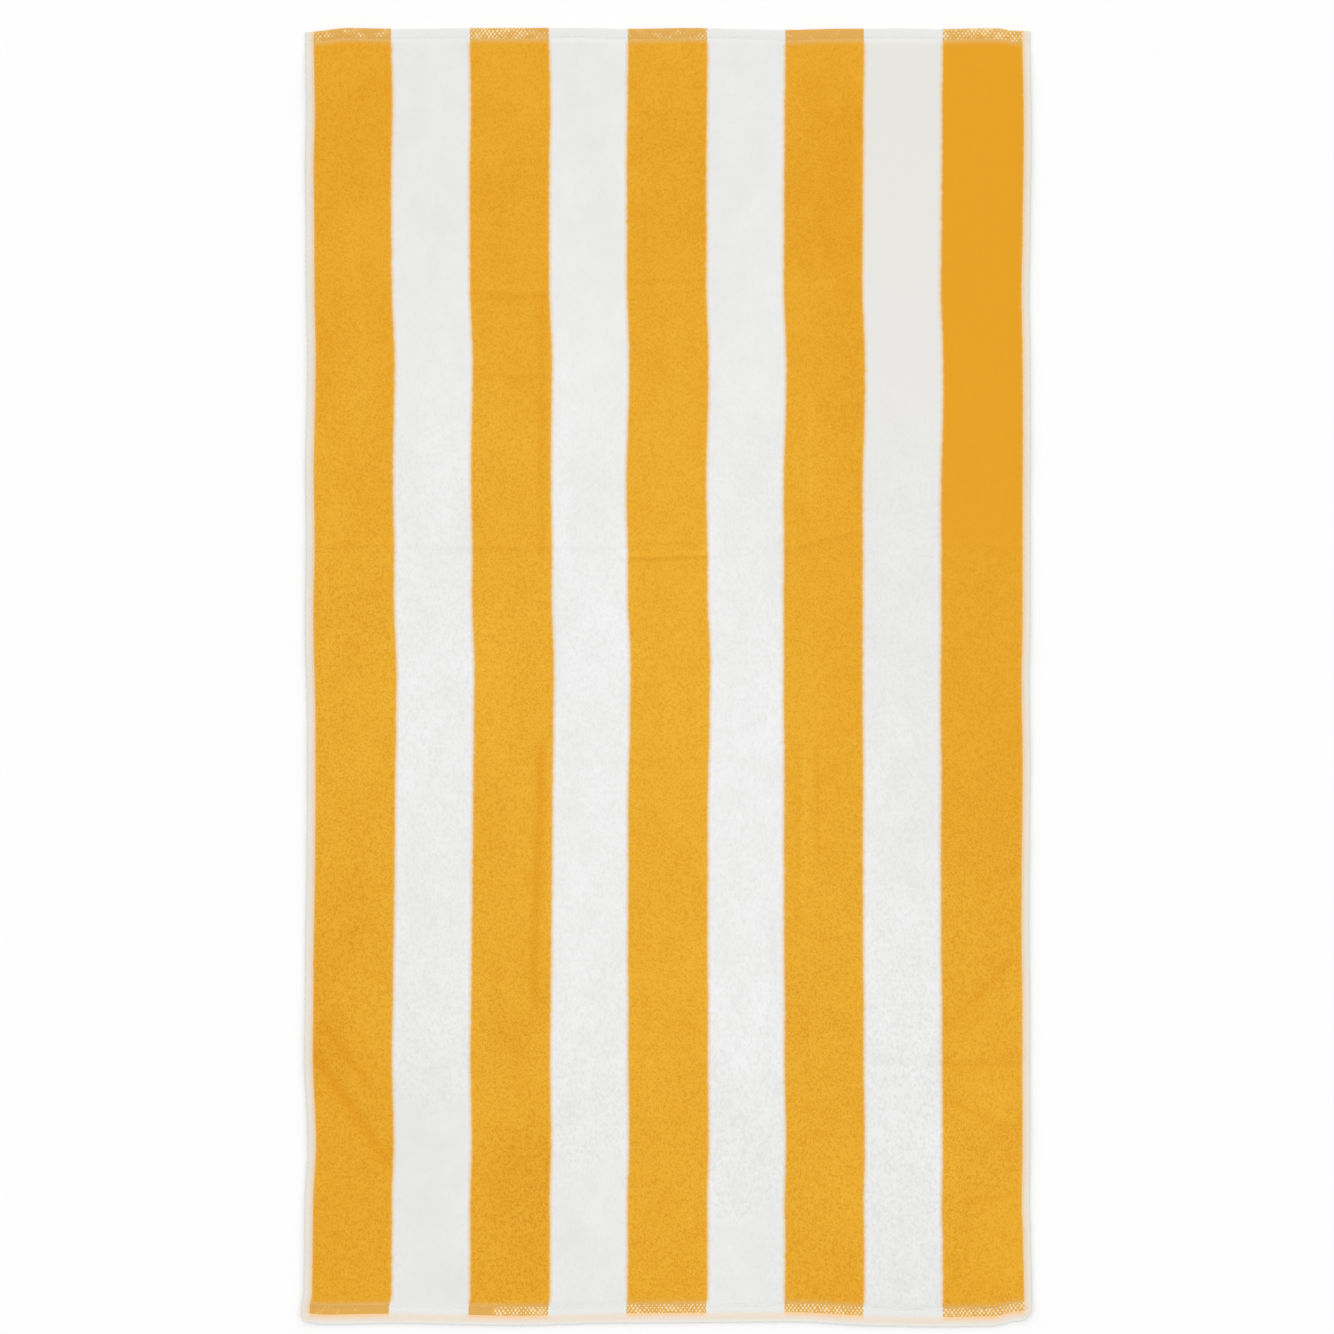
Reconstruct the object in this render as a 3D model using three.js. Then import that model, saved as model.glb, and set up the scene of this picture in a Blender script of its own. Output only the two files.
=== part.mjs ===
// A beach towel, spread flat on the floor. It is one woven sheet: thick cut pile over most
// of it, a flat-woven hem turned at each end and a narrow flat hem down each side.
// The soft folds that storage left in it are pressed into its upper face.
//
// Millimetres, +Z up. X runs across the towel and Y along it. The origin is on the floor,
// under the middle of the towel.

import * as THREE from 'three';

// ---- Driving dimensions ----

const TOWEL_WIDTH = 900;
const TOWEL_LENGTH = 1606;
const PILE_TOP = 3.2; // cloth and pile together
const HEM_TOP = 2.9; // three layers of flat weave, turned and sewn
const RIM_TOP = 1.5; // height at which the rounded rim starts to turn inward
const RIM_ROUND = 2.4; // how far in the rim's rounding reaches
const LEFT_HEM = 10.2;
const RIGHT_HEM = 9.5;
const TOP_HEM = 12.8;
const BOTTOM_HEM = 22.7; // its fold has rolled out, so more of it shows
const PILE_SLOPE = 6; // the pile leans out over this much at its edge
const BOTTOM_CORNER = 12; // radius of the two softened corners

const STEP_ACROSS = 27; // spacing of the grid where nothing needs it closer
const STEP_ALONG = 29;
const FOLD_STEPS = [-8, -3.5, 0, 3.5, 8]; // the grid's lines along and beside a fold
const CLOSEST = 0.35; // share of a step that an ordinary grid line keeps from a special one
const TOO_CLOSE = 2; // a fold's line this near to one already placed is left out
const BACK_INSET = 32; // how far in the underside's straight inner ring lies
const FOLD_FADE = 35; // length over which a fold's end dies away

// ---- Shape tables ----

// How far each edge strays outward from the straight rectangle, at places along it.
const LEFT_EDGE = [
  { at: -803, out: 6.4 },
  { at: -785, out: 5.6 },
  { at: -765, out: 2.5 },
  { at: -700, out: 1.7 },
  { at: -655, out: 1.3 },
  { at: -580, out: -2.4 },
  { at: -470, out: 1.7 },
  { at: -400, out: 1.0 },
  { at: -160, out: -1.8 },
  { at: -70, out: -1.8 },
  { at: 80, out: 0.9 },
  { at: 160, out: -0.6 },
  { at: 250, out: 0.5 },
  { at: 400, out: -2.1 },
  { at: 480, out: -0.5 },
  { at: 640, out: 0.5 },
  { at: 700, out: -0.9 },
  { at: 803, out: 0.9 },
];
const RIGHT_EDGE = [
  { at: -803, out: 2.8 },
  { at: -770, out: 2.8 },
  { at: -700, out: 1.4 },
  { at: -660, out: -0.2 },
  { at: -600, out: 0.5 },
  { at: -400, out: 0.5 },
  { at: -320, out: -0.7 },
  { at: -240, out: -0.3 },
  { at: -120, out: 1.0 },
  { at: 0, out: -0.5 },
  { at: 80, out: 0.9 },
  { at: 320, out: 1.1 },
  { at: 400, out: 0.7 },
  { at: 480, out: -0.5 },
  { at: 560, out: 1.0 },
  { at: 680, out: 2.4 },
  { at: 803, out: 0.8 },
];
const TOP_EDGE = [
  { at: -450, out: -4.2 },
  { at: -395, out: 0.9 },
  { at: -340, out: 0.0 },
  { at: -200, out: 0.9 },
  { at: -110, out: 1.1 },
  { at: -50, out: -0.2 },
  { at: 30, out: 0.9 },
  { at: 80, out: 0.0 },
  { at: 140, out: -1.6 },
  { at: 220, out: 0.0 },
  { at: 300, out: 0.5 },
  { at: 345, out: -0.6 },
  { at: 390, out: 0.5 },
  { at: 410, out: 0.3 },
  { at: 430, out: -2.6 },
  { at: 450, out: -2.8 },
];
const BOTTOM_EDGE = [
  { at: -450, out: 3.0 },
  { at: -420, out: 5.6 },
  { at: -330, out: 4.3 },
  { at: -180, out: 7.0 },
  { at: -60, out: 4.0 },
  { at: 60, out: 3.2 },
  { at: 150, out: 2.4 },
  { at: 270, out: 7.6 },
  { at: 320, out: 8.8 },
  { at: 400, out: 8.0 },
  { at: 432, out: 1.6 },
  { at: 450, out: -2.0 },
];

// Folds, each from one point to another. A lift over 0 is a ridge, under 0 a trough, and
// reach is the distance from the fold's line at which it has fallen to about a third.
const FOLDS = [
  { name: 'upper cross, left', from: [-243, 475], to: [-148, 479], lift: 0.75, reach: 5 },
  { name: 'upper cross, middle', from: [-52, 485], to: [50, 491], lift: -0.5, reach: 4.5 },
  { name: 'main cross, left', from: [-445, 164], to: [-55, 160], lift: 0.5, reach: 5.5 },
  { name: 'main cross, middle', from: [-60, 148], to: [60, 149], lift: 1.25, reach: 3.6 },
  { name: 'main cross, right', from: [146, 158], to: [245, 184], lift: 0.55, reach: 5 },
  { name: 'main cross, far right', from: [245, 166], to: [445, 163], lift: 0.3, reach: 6 },
  { name: 'lower middle cross', from: [-150, -104], to: [150, -104], lift: 0.35, reach: 6 },
  { name: 'lower cross', from: [236, -474], to: [445, -482], lift: -0.6, reach: 6 },
  { name: 'left long, upper', from: [-157, 468], to: [-157, 142], lift: -0.6, reach: 6 },
  { name: 'left long, ridge', from: [-129, 428], to: [-129, 138], lift: 0.5, reach: 9 },
  { name: 'left long, middle', from: [-139, 142], to: [-139, -20], lift: -0.5, reach: 5 },
  { name: 'left long, lower', from: [-162, -82], to: [-168, -405], lift: -0.9, reach: 7 },
  { name: 'right long, upper', from: [175, 348], to: [177, 198], lift: 0.4, reach: 6 },
  { name: 'right long, lower', from: [170, -85], to: [173, -240], lift: 0.6, reach: 5 },
  { name: 'lower ripple, upper', from: [131, -290], to: [135, -400], lift: -0.5, reach: 6 },
  { name: 'lower ripple, lower', from: [128, -395], to: [85, -500], lift: 0.45, reach: 8 },
  { name: 'left corner, long', from: [-440, -465], to: [-345, -610], lift: -0.8, reach: 9 },
  { name: 'left corner, short', from: [-428, -430], to: [-365, -515], lift: -0.5, reach: 8 },
  { name: 'right pull, upper', from: [350, -430], to: [430, -350], lift: -0.4, reach: 7 },
  { name: 'right pull, lower', from: [345, -520], to: [425, -565], lift: -0.4, reach: 7 },
];

// Broad swells in the cloth as it lies, each with its own wavelengths.
const SWELLS = [
  { lift: 0.22, across: 390, along: 520, phase: 0.4 },
  { lift: 0.16, across: 210, along: -330, phase: 1.9 },
  { lift: 0.12, across: -140, along: 240, phase: 3.1 },
];

// ---- Shape functions ----

// 0 to 1 as x goes from 0 to 1, level at both ends.
function eased(x) {
  const t = Math.min(Math.max(x, 0), 1);
  return t * t * (3 - 2 * t);
}

// A table's outward stray at a place, eased between its rows.
function strayAt(table, at) {
  const upper = table.findIndex((row) => row.at >= at);
  if (upper === 0) {
    return table[0].out;
  }
  if (upper < 0) {
    return table[table.length - 1].out;
  }
  const [low, high] = [table[upper - 1], table[upper]];
  const share = eased((at - low.at) / (high.at - low.at));
  return low.out + (high.out - low.out) * share;
}

// A bottom corner's square of cloth, drawn in to a quarter of a disc.
function softened(across, along) {
  const toSide = (Math.abs(across) - TOWEL_WIDTH / 2) / BOTTOM_CORNER + 1;
  const toEnd = (-along - TOWEL_LENGTH / 2) / BOTTOM_CORNER + 1;
  if (toSide <= 0 || toEnd <= 0) {
    return { across, along };
  }
  const sideways = toSide * (1 - Math.sqrt(1 - (toEnd * toEnd) / 2));
  const endways = toEnd * (1 - Math.sqrt(1 - (toSide * toSide) / 2));
  return {
    across: across - Math.sign(across) * sideways * BOTTOM_CORNER,
    along: along + endways * BOTTOM_CORNER,
  };
}

// Where a point of the flat cloth lies, with the edges' stray taken up across the cloth.
function placeOf(across, along) {
  const soft = softened(across, along);
  const toRight = across / TOWEL_WIDTH + 0.5;
  const toTop = along / TOWEL_LENGTH + 0.5;
  const left = -strayAt(LEFT_EDGE, along) * (1 - toRight);
  const right = strayAt(RIGHT_EDGE, along) * toRight;
  const bottom = -strayAt(BOTTOM_EDGE, across) * (1 - toTop);
  const top = strayAt(TOP_EDGE, across) * toTop;
  return { x: soft.across + left + right, y: soft.along + bottom + top };
}

function foldAt(fold, across, along) {
  const start = new THREE.Vector2(...fold.from);
  const run = new THREE.Vector2(...fold.to).sub(start);
  const length = run.length();
  run.divideScalar(length);
  const point = new THREE.Vector2(across, along).sub(start);
  const onLine = point.dot(run);
  const offLine = point.cross(run) / fold.reach;
  const ends = eased(0.5 + onLine / FOLD_FADE) * eased(0.5 + (length - onLine) / FOLD_FADE);
  return fold.lift * ends * Math.exp(-offLine * offLine);
}

function swellAt(swell, across, along) {
  const turns = across / swell.across + along / swell.along;
  return swell.lift * Math.sin(2 * Math.PI * turns + swell.phase);
}

// Height of the cloth's upper face: the rounded rim, the flat hem, then the pile.
function heightAt(across, along) {
  const toLeft = TOWEL_WIDTH / 2 + across;
  const toRight = TOWEL_WIDTH / 2 - across;
  const toBottom = TOWEL_LENGTH / 2 + along;
  const toTop = TOWEL_LENGTH / 2 - along;
  const toRim = Math.min(toLeft, toRight, toBottom, toTop);
  const toPile = Math.min(
    toLeft - LEFT_HEM,
    toRight - RIGHT_HEM,
    toBottom - BOTTOM_HEM,
    toTop - TOP_HEM,
  );
  const rim = RIM_TOP + (HEM_TOP - RIM_TOP) * eased(toRim / RIM_ROUND);
  const folds = FOLDS.reduce((sum, fold) => sum + foldAt(fold, across, along), 0);
  const swells = SWELLS.reduce((sum, swell) => sum + swellAt(swell, across, along), 0);
  return rim + eased(toPile / PILE_SLOPE) * (PILE_TOP - HEM_TOP + folds + swells);
}

// The grid's lines from one edge to the other, closer at the rims, the hems, the softened
// corners and the folds. first and last are the hems at the two ends of the lines.
function gridLines(size, first, last, step, folds) {
  const low = -size / 2;
  const high = size / 2;
  const special = [
    low,
    high,
    low + RIM_ROUND,
    high - RIM_ROUND,
    low + first,
    high - last,
    low + first + PILE_SLOPE,
    high - last - PILE_SLOPE,
    low + BOTTOM_CORNER / 2,
    low + BOTTOM_CORNER,
    high - BOTTOM_CORNER / 2,
    high - BOTTOM_CORNER,
  ];
  special.push(...folds.flatMap((fold) => FOLD_STEPS.map((offset) => fold + offset)));
  const lines = [];
  for (const line of special) {
    if (lines.every((placed) => Math.abs(placed - line) > TOO_CLOSE)) {
      lines.push(line);
    }
  }
  const count = Math.round(size / step);
  for (let i = 1; i < count; i += 1) {
    const line = low + (size * i) / count;
    if (special.every((placed) => Math.abs(placed - line) > step * CLOSEST)) {
      lines.push(line);
    }
  }
  return lines.sort((a, b) => a - b);
}

// ---- The sheet ----

// The upper face is a full grid. The underside is flat, so a few long faces do for it: a
// band from the rim to a straight ring inside it, then a strip for each row of the ring,
// with a fan at each end.
function sheetGeometry(acrossLines, alongLines) {
  const right = acrossLines.length - 1;
  const last = alongLines.length - 1;
  const upper = [];
  const lower = [];
  const inner = [];
  for (const along of alongLines) {
    for (const across of acrossLines) {
      const { x, y } = placeOf(across, along);
      upper.push(new THREE.Vector3(x, y, heightAt(across, along)));
      lower.push(new THREE.Vector3(x, y, 0));
      const innerX = across * (1 - (2 * BACK_INSET) / TOWEL_WIDTH);
      const innerY = along * (1 - (2 * BACK_INSET) / TOWEL_LENGTH);
      inner.push(new THREE.Vector3(innerX, innerY, 0));
    }
  }
  const middle = new THREE.Box3().setFromPoints(upper).getCenter(new THREE.Vector3()).setZ(0);
  const at = (points, row, column) => points[row * acrossLines.length + column];
  const corners = [];
  const triangle = (...points) => {
    corners.push(...points.map((point) => point.clone().sub(middle)));
  };
  const quad = (a, b, c, d) => {
    triangle(a, b, c);
    triangle(a, c, d);
  };

  for (let row = 0; row < last; row += 1) {
    for (let column = 0; column < right; column += 1) {
      quad(
        at(upper, row, column),
        at(upper, row, column + 1),
        at(upper, row + 1, column + 1),
        at(upper, row + 1, column),
      );
    }
  }

  const rim = [];
  for (let column = 0; column < right; column += 1) {
    rim.push([0, column]);
  }
  for (let row = 0; row < last; row += 1) {
    rim.push([row, right]);
  }
  for (let column = right; column > 0; column -= 1) {
    rim.push([last, column]);
  }
  for (let row = last; row > 0; row -= 1) {
    rim.push([row, 0]);
  }
  rim.forEach((here, i) => {
    const next = rim[(i + 1) % rim.length];
    quad(at(lower, ...here), at(lower, ...next), at(upper, ...next), at(upper, ...here));
    quad(at(inner, ...here), at(inner, ...next), at(lower, ...next), at(lower, ...here));
  });

  for (let column = 0; column < right; column += 1) {
    triangle(at(inner, 1, 0), at(inner, 0, column + 1), at(inner, 0, column));
    triangle(at(inner, last - 1, 0), at(inner, last, column), at(inner, last, column + 1));
  }
  triangle(at(inner, 1, 0), at(inner, 1, right), at(inner, 0, right));
  triangle(at(inner, last - 1, 0), at(inner, last, right), at(inner, last - 1, right));
  for (let row = 1; row < last - 1; row += 1) {
    quad(
      at(inner, row, 0),
      at(inner, row + 1, 0),
      at(inner, row + 1, right),
      at(inner, row, right),
    );
  }

  return new THREE.BufferGeometry().setFromPoints(corners);
}

// ---- The towel ----

const isStraight = (axis) => (fold) => Math.abs(fold.to[axis] - fold.from[axis]) < FOLD_FADE / 2;
const longFolds = FOLDS.filter(isStraight(0)).map((fold) => fold.from[0]);
const crossFolds = FOLDS.filter(isStraight(1)).map((fold) => fold.from[1]);
const acrossLines = gridLines(TOWEL_WIDTH, LEFT_HEM, RIGHT_HEM, STEP_ACROSS, longFolds);
const alongLines = gridLines(TOWEL_LENGTH, BOTTOM_HEM, TOP_HEM, STEP_ALONG, crossFolds);

const cloth = new THREE.MeshStandardMaterial({
  name: 'cotton velour',
  color: 0xe9a82c,
  roughness: 0.95,
  metalness: 0,
});

const towel = new THREE.Mesh(sheetGeometry(acrossLines, alongLines), cloth);
towel.name = 'towel';
towel.geometry.computeVertexNormals();

const group = new THREE.Group();
group.add(towel);
export default group;
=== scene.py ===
# %% [markdown]
# # A striped beach towel, spread flat
#
# The real thing is one woven sheet of cotton velour, about 90 by 161 cm. A flat ground weave
# holds it together. Cut pile stands on the ground in nine stripes, and it stops short of the
# edges, where the bare ground is turned over and sewn down as a hem.
#
# We build it the way it is made: the ground cloth with its four hems, then nine stripes of
# pile standing on it, then the rows of stitches. Each is a mesh of its own, so each can have
# the finish that its yarn has.
#
# First we load the measured part. It is the fixed frame, and everything here has to fit it.

import math
from collections import namedtuple

import bpy
import numpy as np
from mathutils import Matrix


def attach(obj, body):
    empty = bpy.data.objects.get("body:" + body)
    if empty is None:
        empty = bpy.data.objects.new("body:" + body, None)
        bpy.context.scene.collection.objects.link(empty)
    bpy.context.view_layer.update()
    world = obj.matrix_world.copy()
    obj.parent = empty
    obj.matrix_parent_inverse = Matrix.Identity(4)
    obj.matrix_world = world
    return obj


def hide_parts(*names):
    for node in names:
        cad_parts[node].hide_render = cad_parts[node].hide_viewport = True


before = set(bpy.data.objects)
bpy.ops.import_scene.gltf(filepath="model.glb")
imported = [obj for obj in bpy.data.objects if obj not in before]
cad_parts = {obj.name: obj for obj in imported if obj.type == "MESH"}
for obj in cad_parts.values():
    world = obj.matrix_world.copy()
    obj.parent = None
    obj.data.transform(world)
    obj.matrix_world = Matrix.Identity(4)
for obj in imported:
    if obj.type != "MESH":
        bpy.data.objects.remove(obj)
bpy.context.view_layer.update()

# %% [markdown]
# ## Sizes
#
# Cloth is easiest to think of in millimetres, so the shapes are worked out in millimetres and
# turned into Blender's metres once, when a mesh is made. X runs across the towel, Y along it,
# and Z is up from the floor.

# %% Sizes of the cloth
MM = 0.001
TOWEL_WIDTH = 900
TOWEL_LENGTH = 1606
PILE_TOP = 3.2
HEM_TOP = 2.9
GROUND_TOP = 1.3
LEFT_HEM = 10.2
RIGHT_HEM = 9.5
TOP_HEM = 12.8
BOTTOM_HEM = 22.7
ROLL = 12.4
PILE_SLOPE = 6
BOTTOM_CORNER = 12
print("flat cloth, mm:", TOWEL_WIDTH, "by", TOWEL_LENGTH)

# %% [markdown]
# ## Camera
#
# The towel is seen square on from above. A long lens a good way up keeps its long sides
# parallel. The camera comes first, because it decides how much detail is worth making: one
# pixel is a little over a millimetre of cloth, so the tufts only just show, one by one.

# %% Camera straight above
VIEW_WIDTH = 1.660
VIEW_MIDDLE = (0.0006, 0.0130)

camera_data = bpy.data.cameras.new("camera")
camera_data.lens = 100
camera_data.sensor_width = 36
camera = bpy.data.objects.new("camera", camera_data)
bpy.context.scene.collection.objects.link(camera)
camera.location = (*VIEW_MIDDLE, VIEW_WIDTH * camera_data.lens / camera_data.sensor_width)
camera_data.clip_end = 100
bpy.context.scene.camera = camera
print("camera height, m:", round(camera.location.z, 3))

# %% [markdown]
# ## Colours and light
#
# Cotton's colours are easiest to match as they look, so the helper below takes a colour as a
# screen shows it and works back to the share of light that the yarn reflects.
#
# The light is a plain studio one: a very broad soft light from the head of the towel, and a
# white room. The broad light rakes across the folds a little and leaves the foot and the
# sides a faint shadow, and the room fills in the rest.

# %% Colour helper, room and lights
WHITE_LEVEL = 1.15
ROOM_STRENGTH = 0.56
HEAD_LIGHT_STRENGTH = 2.04
HEAD_LIGHT_LEAN = 24
HEAD_LIGHT_SPREAD = 130


def yarn(red, green, blue):
    """The reflectance of yarn that looks this colour, 0 to 255, under the lights below."""
    linear = []
    for level in (red, green, blue):
        share = level / 255
        value = share / 12.92 if share < 0.04045 else ((share + 0.055) / 1.055) ** 2.4
        linear.append(value / WHITE_LEVEL)
    return (*linear, 1.0)


scene = bpy.context.scene
scene.view_settings.view_transform = "Standard"
room = bpy.data.worlds.new("white room")
room.use_nodes = True
room.node_tree.nodes["Background"].inputs["Color"].default_value = (1, 1, 1, 1)
room.node_tree.nodes["Background"].inputs["Strength"].default_value = ROOM_STRENGTH
scene.world = room

head_light = bpy.data.lights.new("broad head light", "SUN")
head_light.energy = HEAD_LIGHT_STRENGTH
head_light.angle = math.radians(HEAD_LIGHT_SPREAD)
head = bpy.data.objects.new("broad head light", head_light)
head.rotation_euler = (math.radians(-HEAD_LIGHT_LEAN), 0, 0)
scene.collection.objects.link(head)
print("light from the head leans, degrees:", HEAD_LIGHT_LEAN)

# %% [markdown]
# ## The floor
#
# The floor is a plain pale sheet. It isn't part of the object. It reaches far out of sight on
# every side, so no edge of it shows from any angle.

# %% Floor
FLOOR_REACH = 30


def make_floor():
    steps = np.linspace(-1, 1, 9) * FLOOR_REACH
    points = [(x, y, 0.0) for y in steps for x in steps]
    count = len(steps)
    faces = [
        (r * count + c, r * count + c + 1, (r + 1) * count + c + 1, (r + 1) * count + c)
        for r in range(count - 1)
        for c in range(count - 1)
    ]
    mesh = bpy.data.meshes.new("floor")
    mesh.from_pydata(points, [], faces)
    made = bpy.data.objects.new("floor", mesh)
    scene.collection.objects.link(made)
    return made


floor = make_floor()
print("floor reaches, m:", FLOOR_REACH)

# %% [markdown]
# ## How the cloth lies
#
# No towel lies as a true rectangle. Its edges stray a few millimetres in and out, the foot
# corners are soft, and folding for storage has left faint creases, in thirds one way and
# fifths the other. The side hems also curl up a few millimetres at their free edge, as a
# sewn edge does once it has been washed, and the foot a little.
#
# The tables give each of these as a maker would note it down, and the functions turn a place
# on the flat cloth into the place where it lies.

# %% Tables of edges and folds
# Each edge strays outward from the straight by so much, at places along it.
LEFT_EDGE = [
    {"at": -803, "out": 6.4},
    {"at": -785, "out": 5.6},
    {"at": -765, "out": 2.5},
    {"at": -700, "out": 1.7},
    {"at": -655, "out": 1.3},
    {"at": -580, "out": -2.4},
    {"at": -470, "out": 1.7},
    {"at": -400, "out": 1.0},
    {"at": -160, "out": -1.8},
    {"at": -70, "out": -1.8},
    {"at": 80, "out": 0.9},
    {"at": 160, "out": -0.6},
    {"at": 250, "out": 0.5},
    {"at": 400, "out": -2.1},
    {"at": 480, "out": -0.5},
    {"at": 640, "out": 0.5},
    {"at": 700, "out": -0.9},
    {"at": 803, "out": 0.9},
]
RIGHT_EDGE = [
    {"at": -803, "out": 2.8},
    {"at": -770, "out": 2.8},
    {"at": -700, "out": 1.4},
    {"at": -660, "out": -0.2},
    {"at": -600, "out": 0.5},
    {"at": -400, "out": 0.5},
    {"at": -320, "out": -0.7},
    {"at": -240, "out": -0.3},
    {"at": -120, "out": 1.0},
    {"at": 0, "out": -0.5},
    {"at": 80, "out": 0.9},
    {"at": 320, "out": 1.1},
    {"at": 400, "out": 0.7},
    {"at": 480, "out": -0.5},
    {"at": 560, "out": 1.0},
    {"at": 680, "out": 2.4},
    {"at": 803, "out": 0.8},
]
TOP_EDGE = [
    {"at": -450, "out": -4.2},
    {"at": -395, "out": 0.9},
    {"at": -340, "out": 0.0},
    {"at": -200, "out": 0.9},
    {"at": -110, "out": 1.1},
    {"at": -50, "out": -0.2},
    {"at": 30, "out": 0.9},
    {"at": 80, "out": 0.0},
    {"at": 140, "out": -1.6},
    {"at": 220, "out": 0.0},
    {"at": 300, "out": 0.5},
    {"at": 345, "out": -0.6},
    {"at": 390, "out": 0.5},
    {"at": 410, "out": 0.3},
    {"at": 430, "out": -2.6},
    {"at": 450, "out": -2.8},
]
BOTTOM_EDGE = [
    {"at": -450, "out": 3.0},
    {"at": -420, "out": 5.6},
    {"at": -330, "out": 4.3},
    {"at": -180, "out": 7.0},
    {"at": -60, "out": 4.0},
    {"at": 60, "out": 3.2},
    {"at": 150, "out": 2.4},
    {"at": 270, "out": 7.6},
    {"at": 320, "out": 8.8},
    {"at": 400, "out": 8.0},
    {"at": 432, "out": 1.6},
    {"at": 450, "out": -2.0},
]
# A lift over 0 is a ridge, under 0 a trough, and reach is where it has fallen to a third.
# Along the folds shade is painted into the pile's colour: darker in most troughs and under
# some ridges, lighter along others. The last column is that painted change, on the scale from
# 0 to 1 that the pile's tables use.
Fold = namedtuple("Fold", "name start end lift reach stand", defaults=(0,))
FOLDS = [
    Fold("upper cross, left", (-445, 481), (-245, 480), lift=0.3, reach=5),
    Fold("upper cross, ridge", (-243, 478), (-148, 476), lift=0.95, reach=5),
    Fold("upper cross, under it", (-243, 469), (-148, 468), lift=0, reach=4, stand=-0.14),
    Fold("upper cross, middle", (-52, 486), (50, 487), lift=-0.6, reach=4.5, stand=-0.08),
    Fold("upper cross, right", (140, 480), (250, 481), lift=0.35, reach=6),
    Fold("main cross, left", (-445, 164), (-55, 160), lift=0.8, reach=5, stand=-0.06),
    Fold("main cross, middle", (-60, 148), (60, 149), lift=1.25, reach=3.6),
    Fold("main cross, under it", (-60, 145), (60, 146), lift=0, reach=2.5, stand=-0.16),
    Fold("main cross, above it", (-50, 167), (40, 168), lift=0.45, reach=4),
    Fold("main cross, inner right", (60, 160), (150, 157), lift=0.3, reach=6),
    Fold("main cross, right", (146, 158), (245, 184), lift=0.95, reach=5, stand=-0.06),
    Fold("main cross, far right", (245, 166), (445, 163), lift=0.3, reach=6),
    Fold("lower middle cross", (-240, -104), (100, -103), lift=0.3, reach=6, stand=-0.05),
    Fold("lower cross", (236, -474), (445, -482), lift=-0.6, reach=6, stand=-0.14),
    Fold("left long, upper", (-157, 468), (-157, 142), lift=-0.6, reach=5, stand=-0.22),
    Fold("left long, ridge", (-129, 428), (-129, 138), lift=0.6, reach=8, stand=0.1),
    Fold("left long, middle", (-139, 142), (-139, -20), lift=-0.6, reach=5, stand=-0.14),
    Fold("left long, lower", (-159, -82), (-166, -405), lift=-1.0, reach=6, stand=-0.36),
    Fold("left long, beside it", (-148, -90), (-150, -300), lift=0.4, reach=4, stand=0.1),
    Fold("right long, upper", (175, 348), (177, 198), lift=0.4, reach=5, stand=0.12),
    Fold("right long, lower", (168, -85), (170, -300), lift=0.7, reach=4, stand=0.14),
    Fold("right long, beside it", (184, -85), (186, -240), lift=-0.4, reach=4, stand=-0.2),
    Fold("right long, dark edge", (160, -85), (161, -320), lift=-0.3, reach=3, stand=-0.16),
    Fold("middle ripple", (120, 148), (126, -107), lift=0.4, reach=9, stand=0.05),
    Fold("lower ripple, upper", (131, -290), (135, -400), lift=-0.5, reach=6, stand=-0.12),
    Fold("lower ripple, lower", (128, -395), (85, -500), lift=0.5, reach=8, stand=0.06),
    Fold("left corner, long", (-440, -465), (-345, -610), lift=-0.8, reach=8, stand=-0.34),
    Fold("left corner, short", (-428, -430), (-365, -515), lift=-0.5, reach=7, stand=-0.3),
    Fold("upper left slant", (-235, 372), (-160, 366), lift=-0.4, reach=5, stand=-0.12),
    Fold("right pull, upper", (350, -430), (430, -350), lift=-0.5, reach=6, stand=-0.22),
    Fold("right pull, lower", (345, -520), (425, -565), lift=-0.5, reach=6, stand=-0.22),
    Fold("foot, right", (165, -570), (215, -572), lift=-0.3, reach=5, stand=-0.1),
    Fold("foot, far right", (370, -648), (435, -645), lift=-0.3, reach=5, stand=-0.18),
]
FOLD_FADE = 35
# Broad swells, each with its wavelength both ways.
SWELLS = [
    {"lift": 0.22, "across": 390, "along": 520, "phase": 0.4},
    {"lift": 0.16, "across": 210, "along": -330, "phase": 1.9},
    {"lift": 0.12, "across": -140, "along": 240, "phase": 3.1},
]
CURL = {"side": 3.6, "foot": 0.9}
CURL_REACH = 24
CURL_STARTS = 60

# %% From the flat cloth to where it lies


def eased(x):
    """0 to 1 as x goes from 0 to 1, level at both ends."""
    t = np.clip(x, 0, 1)
    return t * t * (3 - 2 * t)


def along_table(table, at, column):
    """A table's column at these places, eased between its rows."""
    places = np.array([row["at"] for row in table], float)
    values = np.array([row[column] for row in table], float)
    upper = np.clip(np.searchsorted(places, at), 1, len(places) - 1)
    share = eased((at - places[upper - 1]) / (places[upper] - places[upper - 1]))
    return values[upper - 1] + (values[upper] - values[upper - 1]) * share


def softened(across, along):
    """The two foot corners of the cloth, drawn in from a square to a quarter of a disc."""
    to_side = np.clip((np.abs(across) - TOWEL_WIDTH / 2) / BOTTOM_CORNER + 1, 0, None)
    to_end = np.clip((-along - TOWEL_LENGTH / 2) / BOTTOM_CORNER + 1, 0, None)
    sideways = to_side * (1 - np.sqrt(1 - to_end**2 / 2)) * (to_end > 0)
    endways = to_end * (1 - np.sqrt(1 - to_side**2 / 2)) * (to_side > 0)
    return across - np.sign(across) * sideways * BOTTOM_CORNER, along + endways * BOTTOM_CORNER


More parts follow.
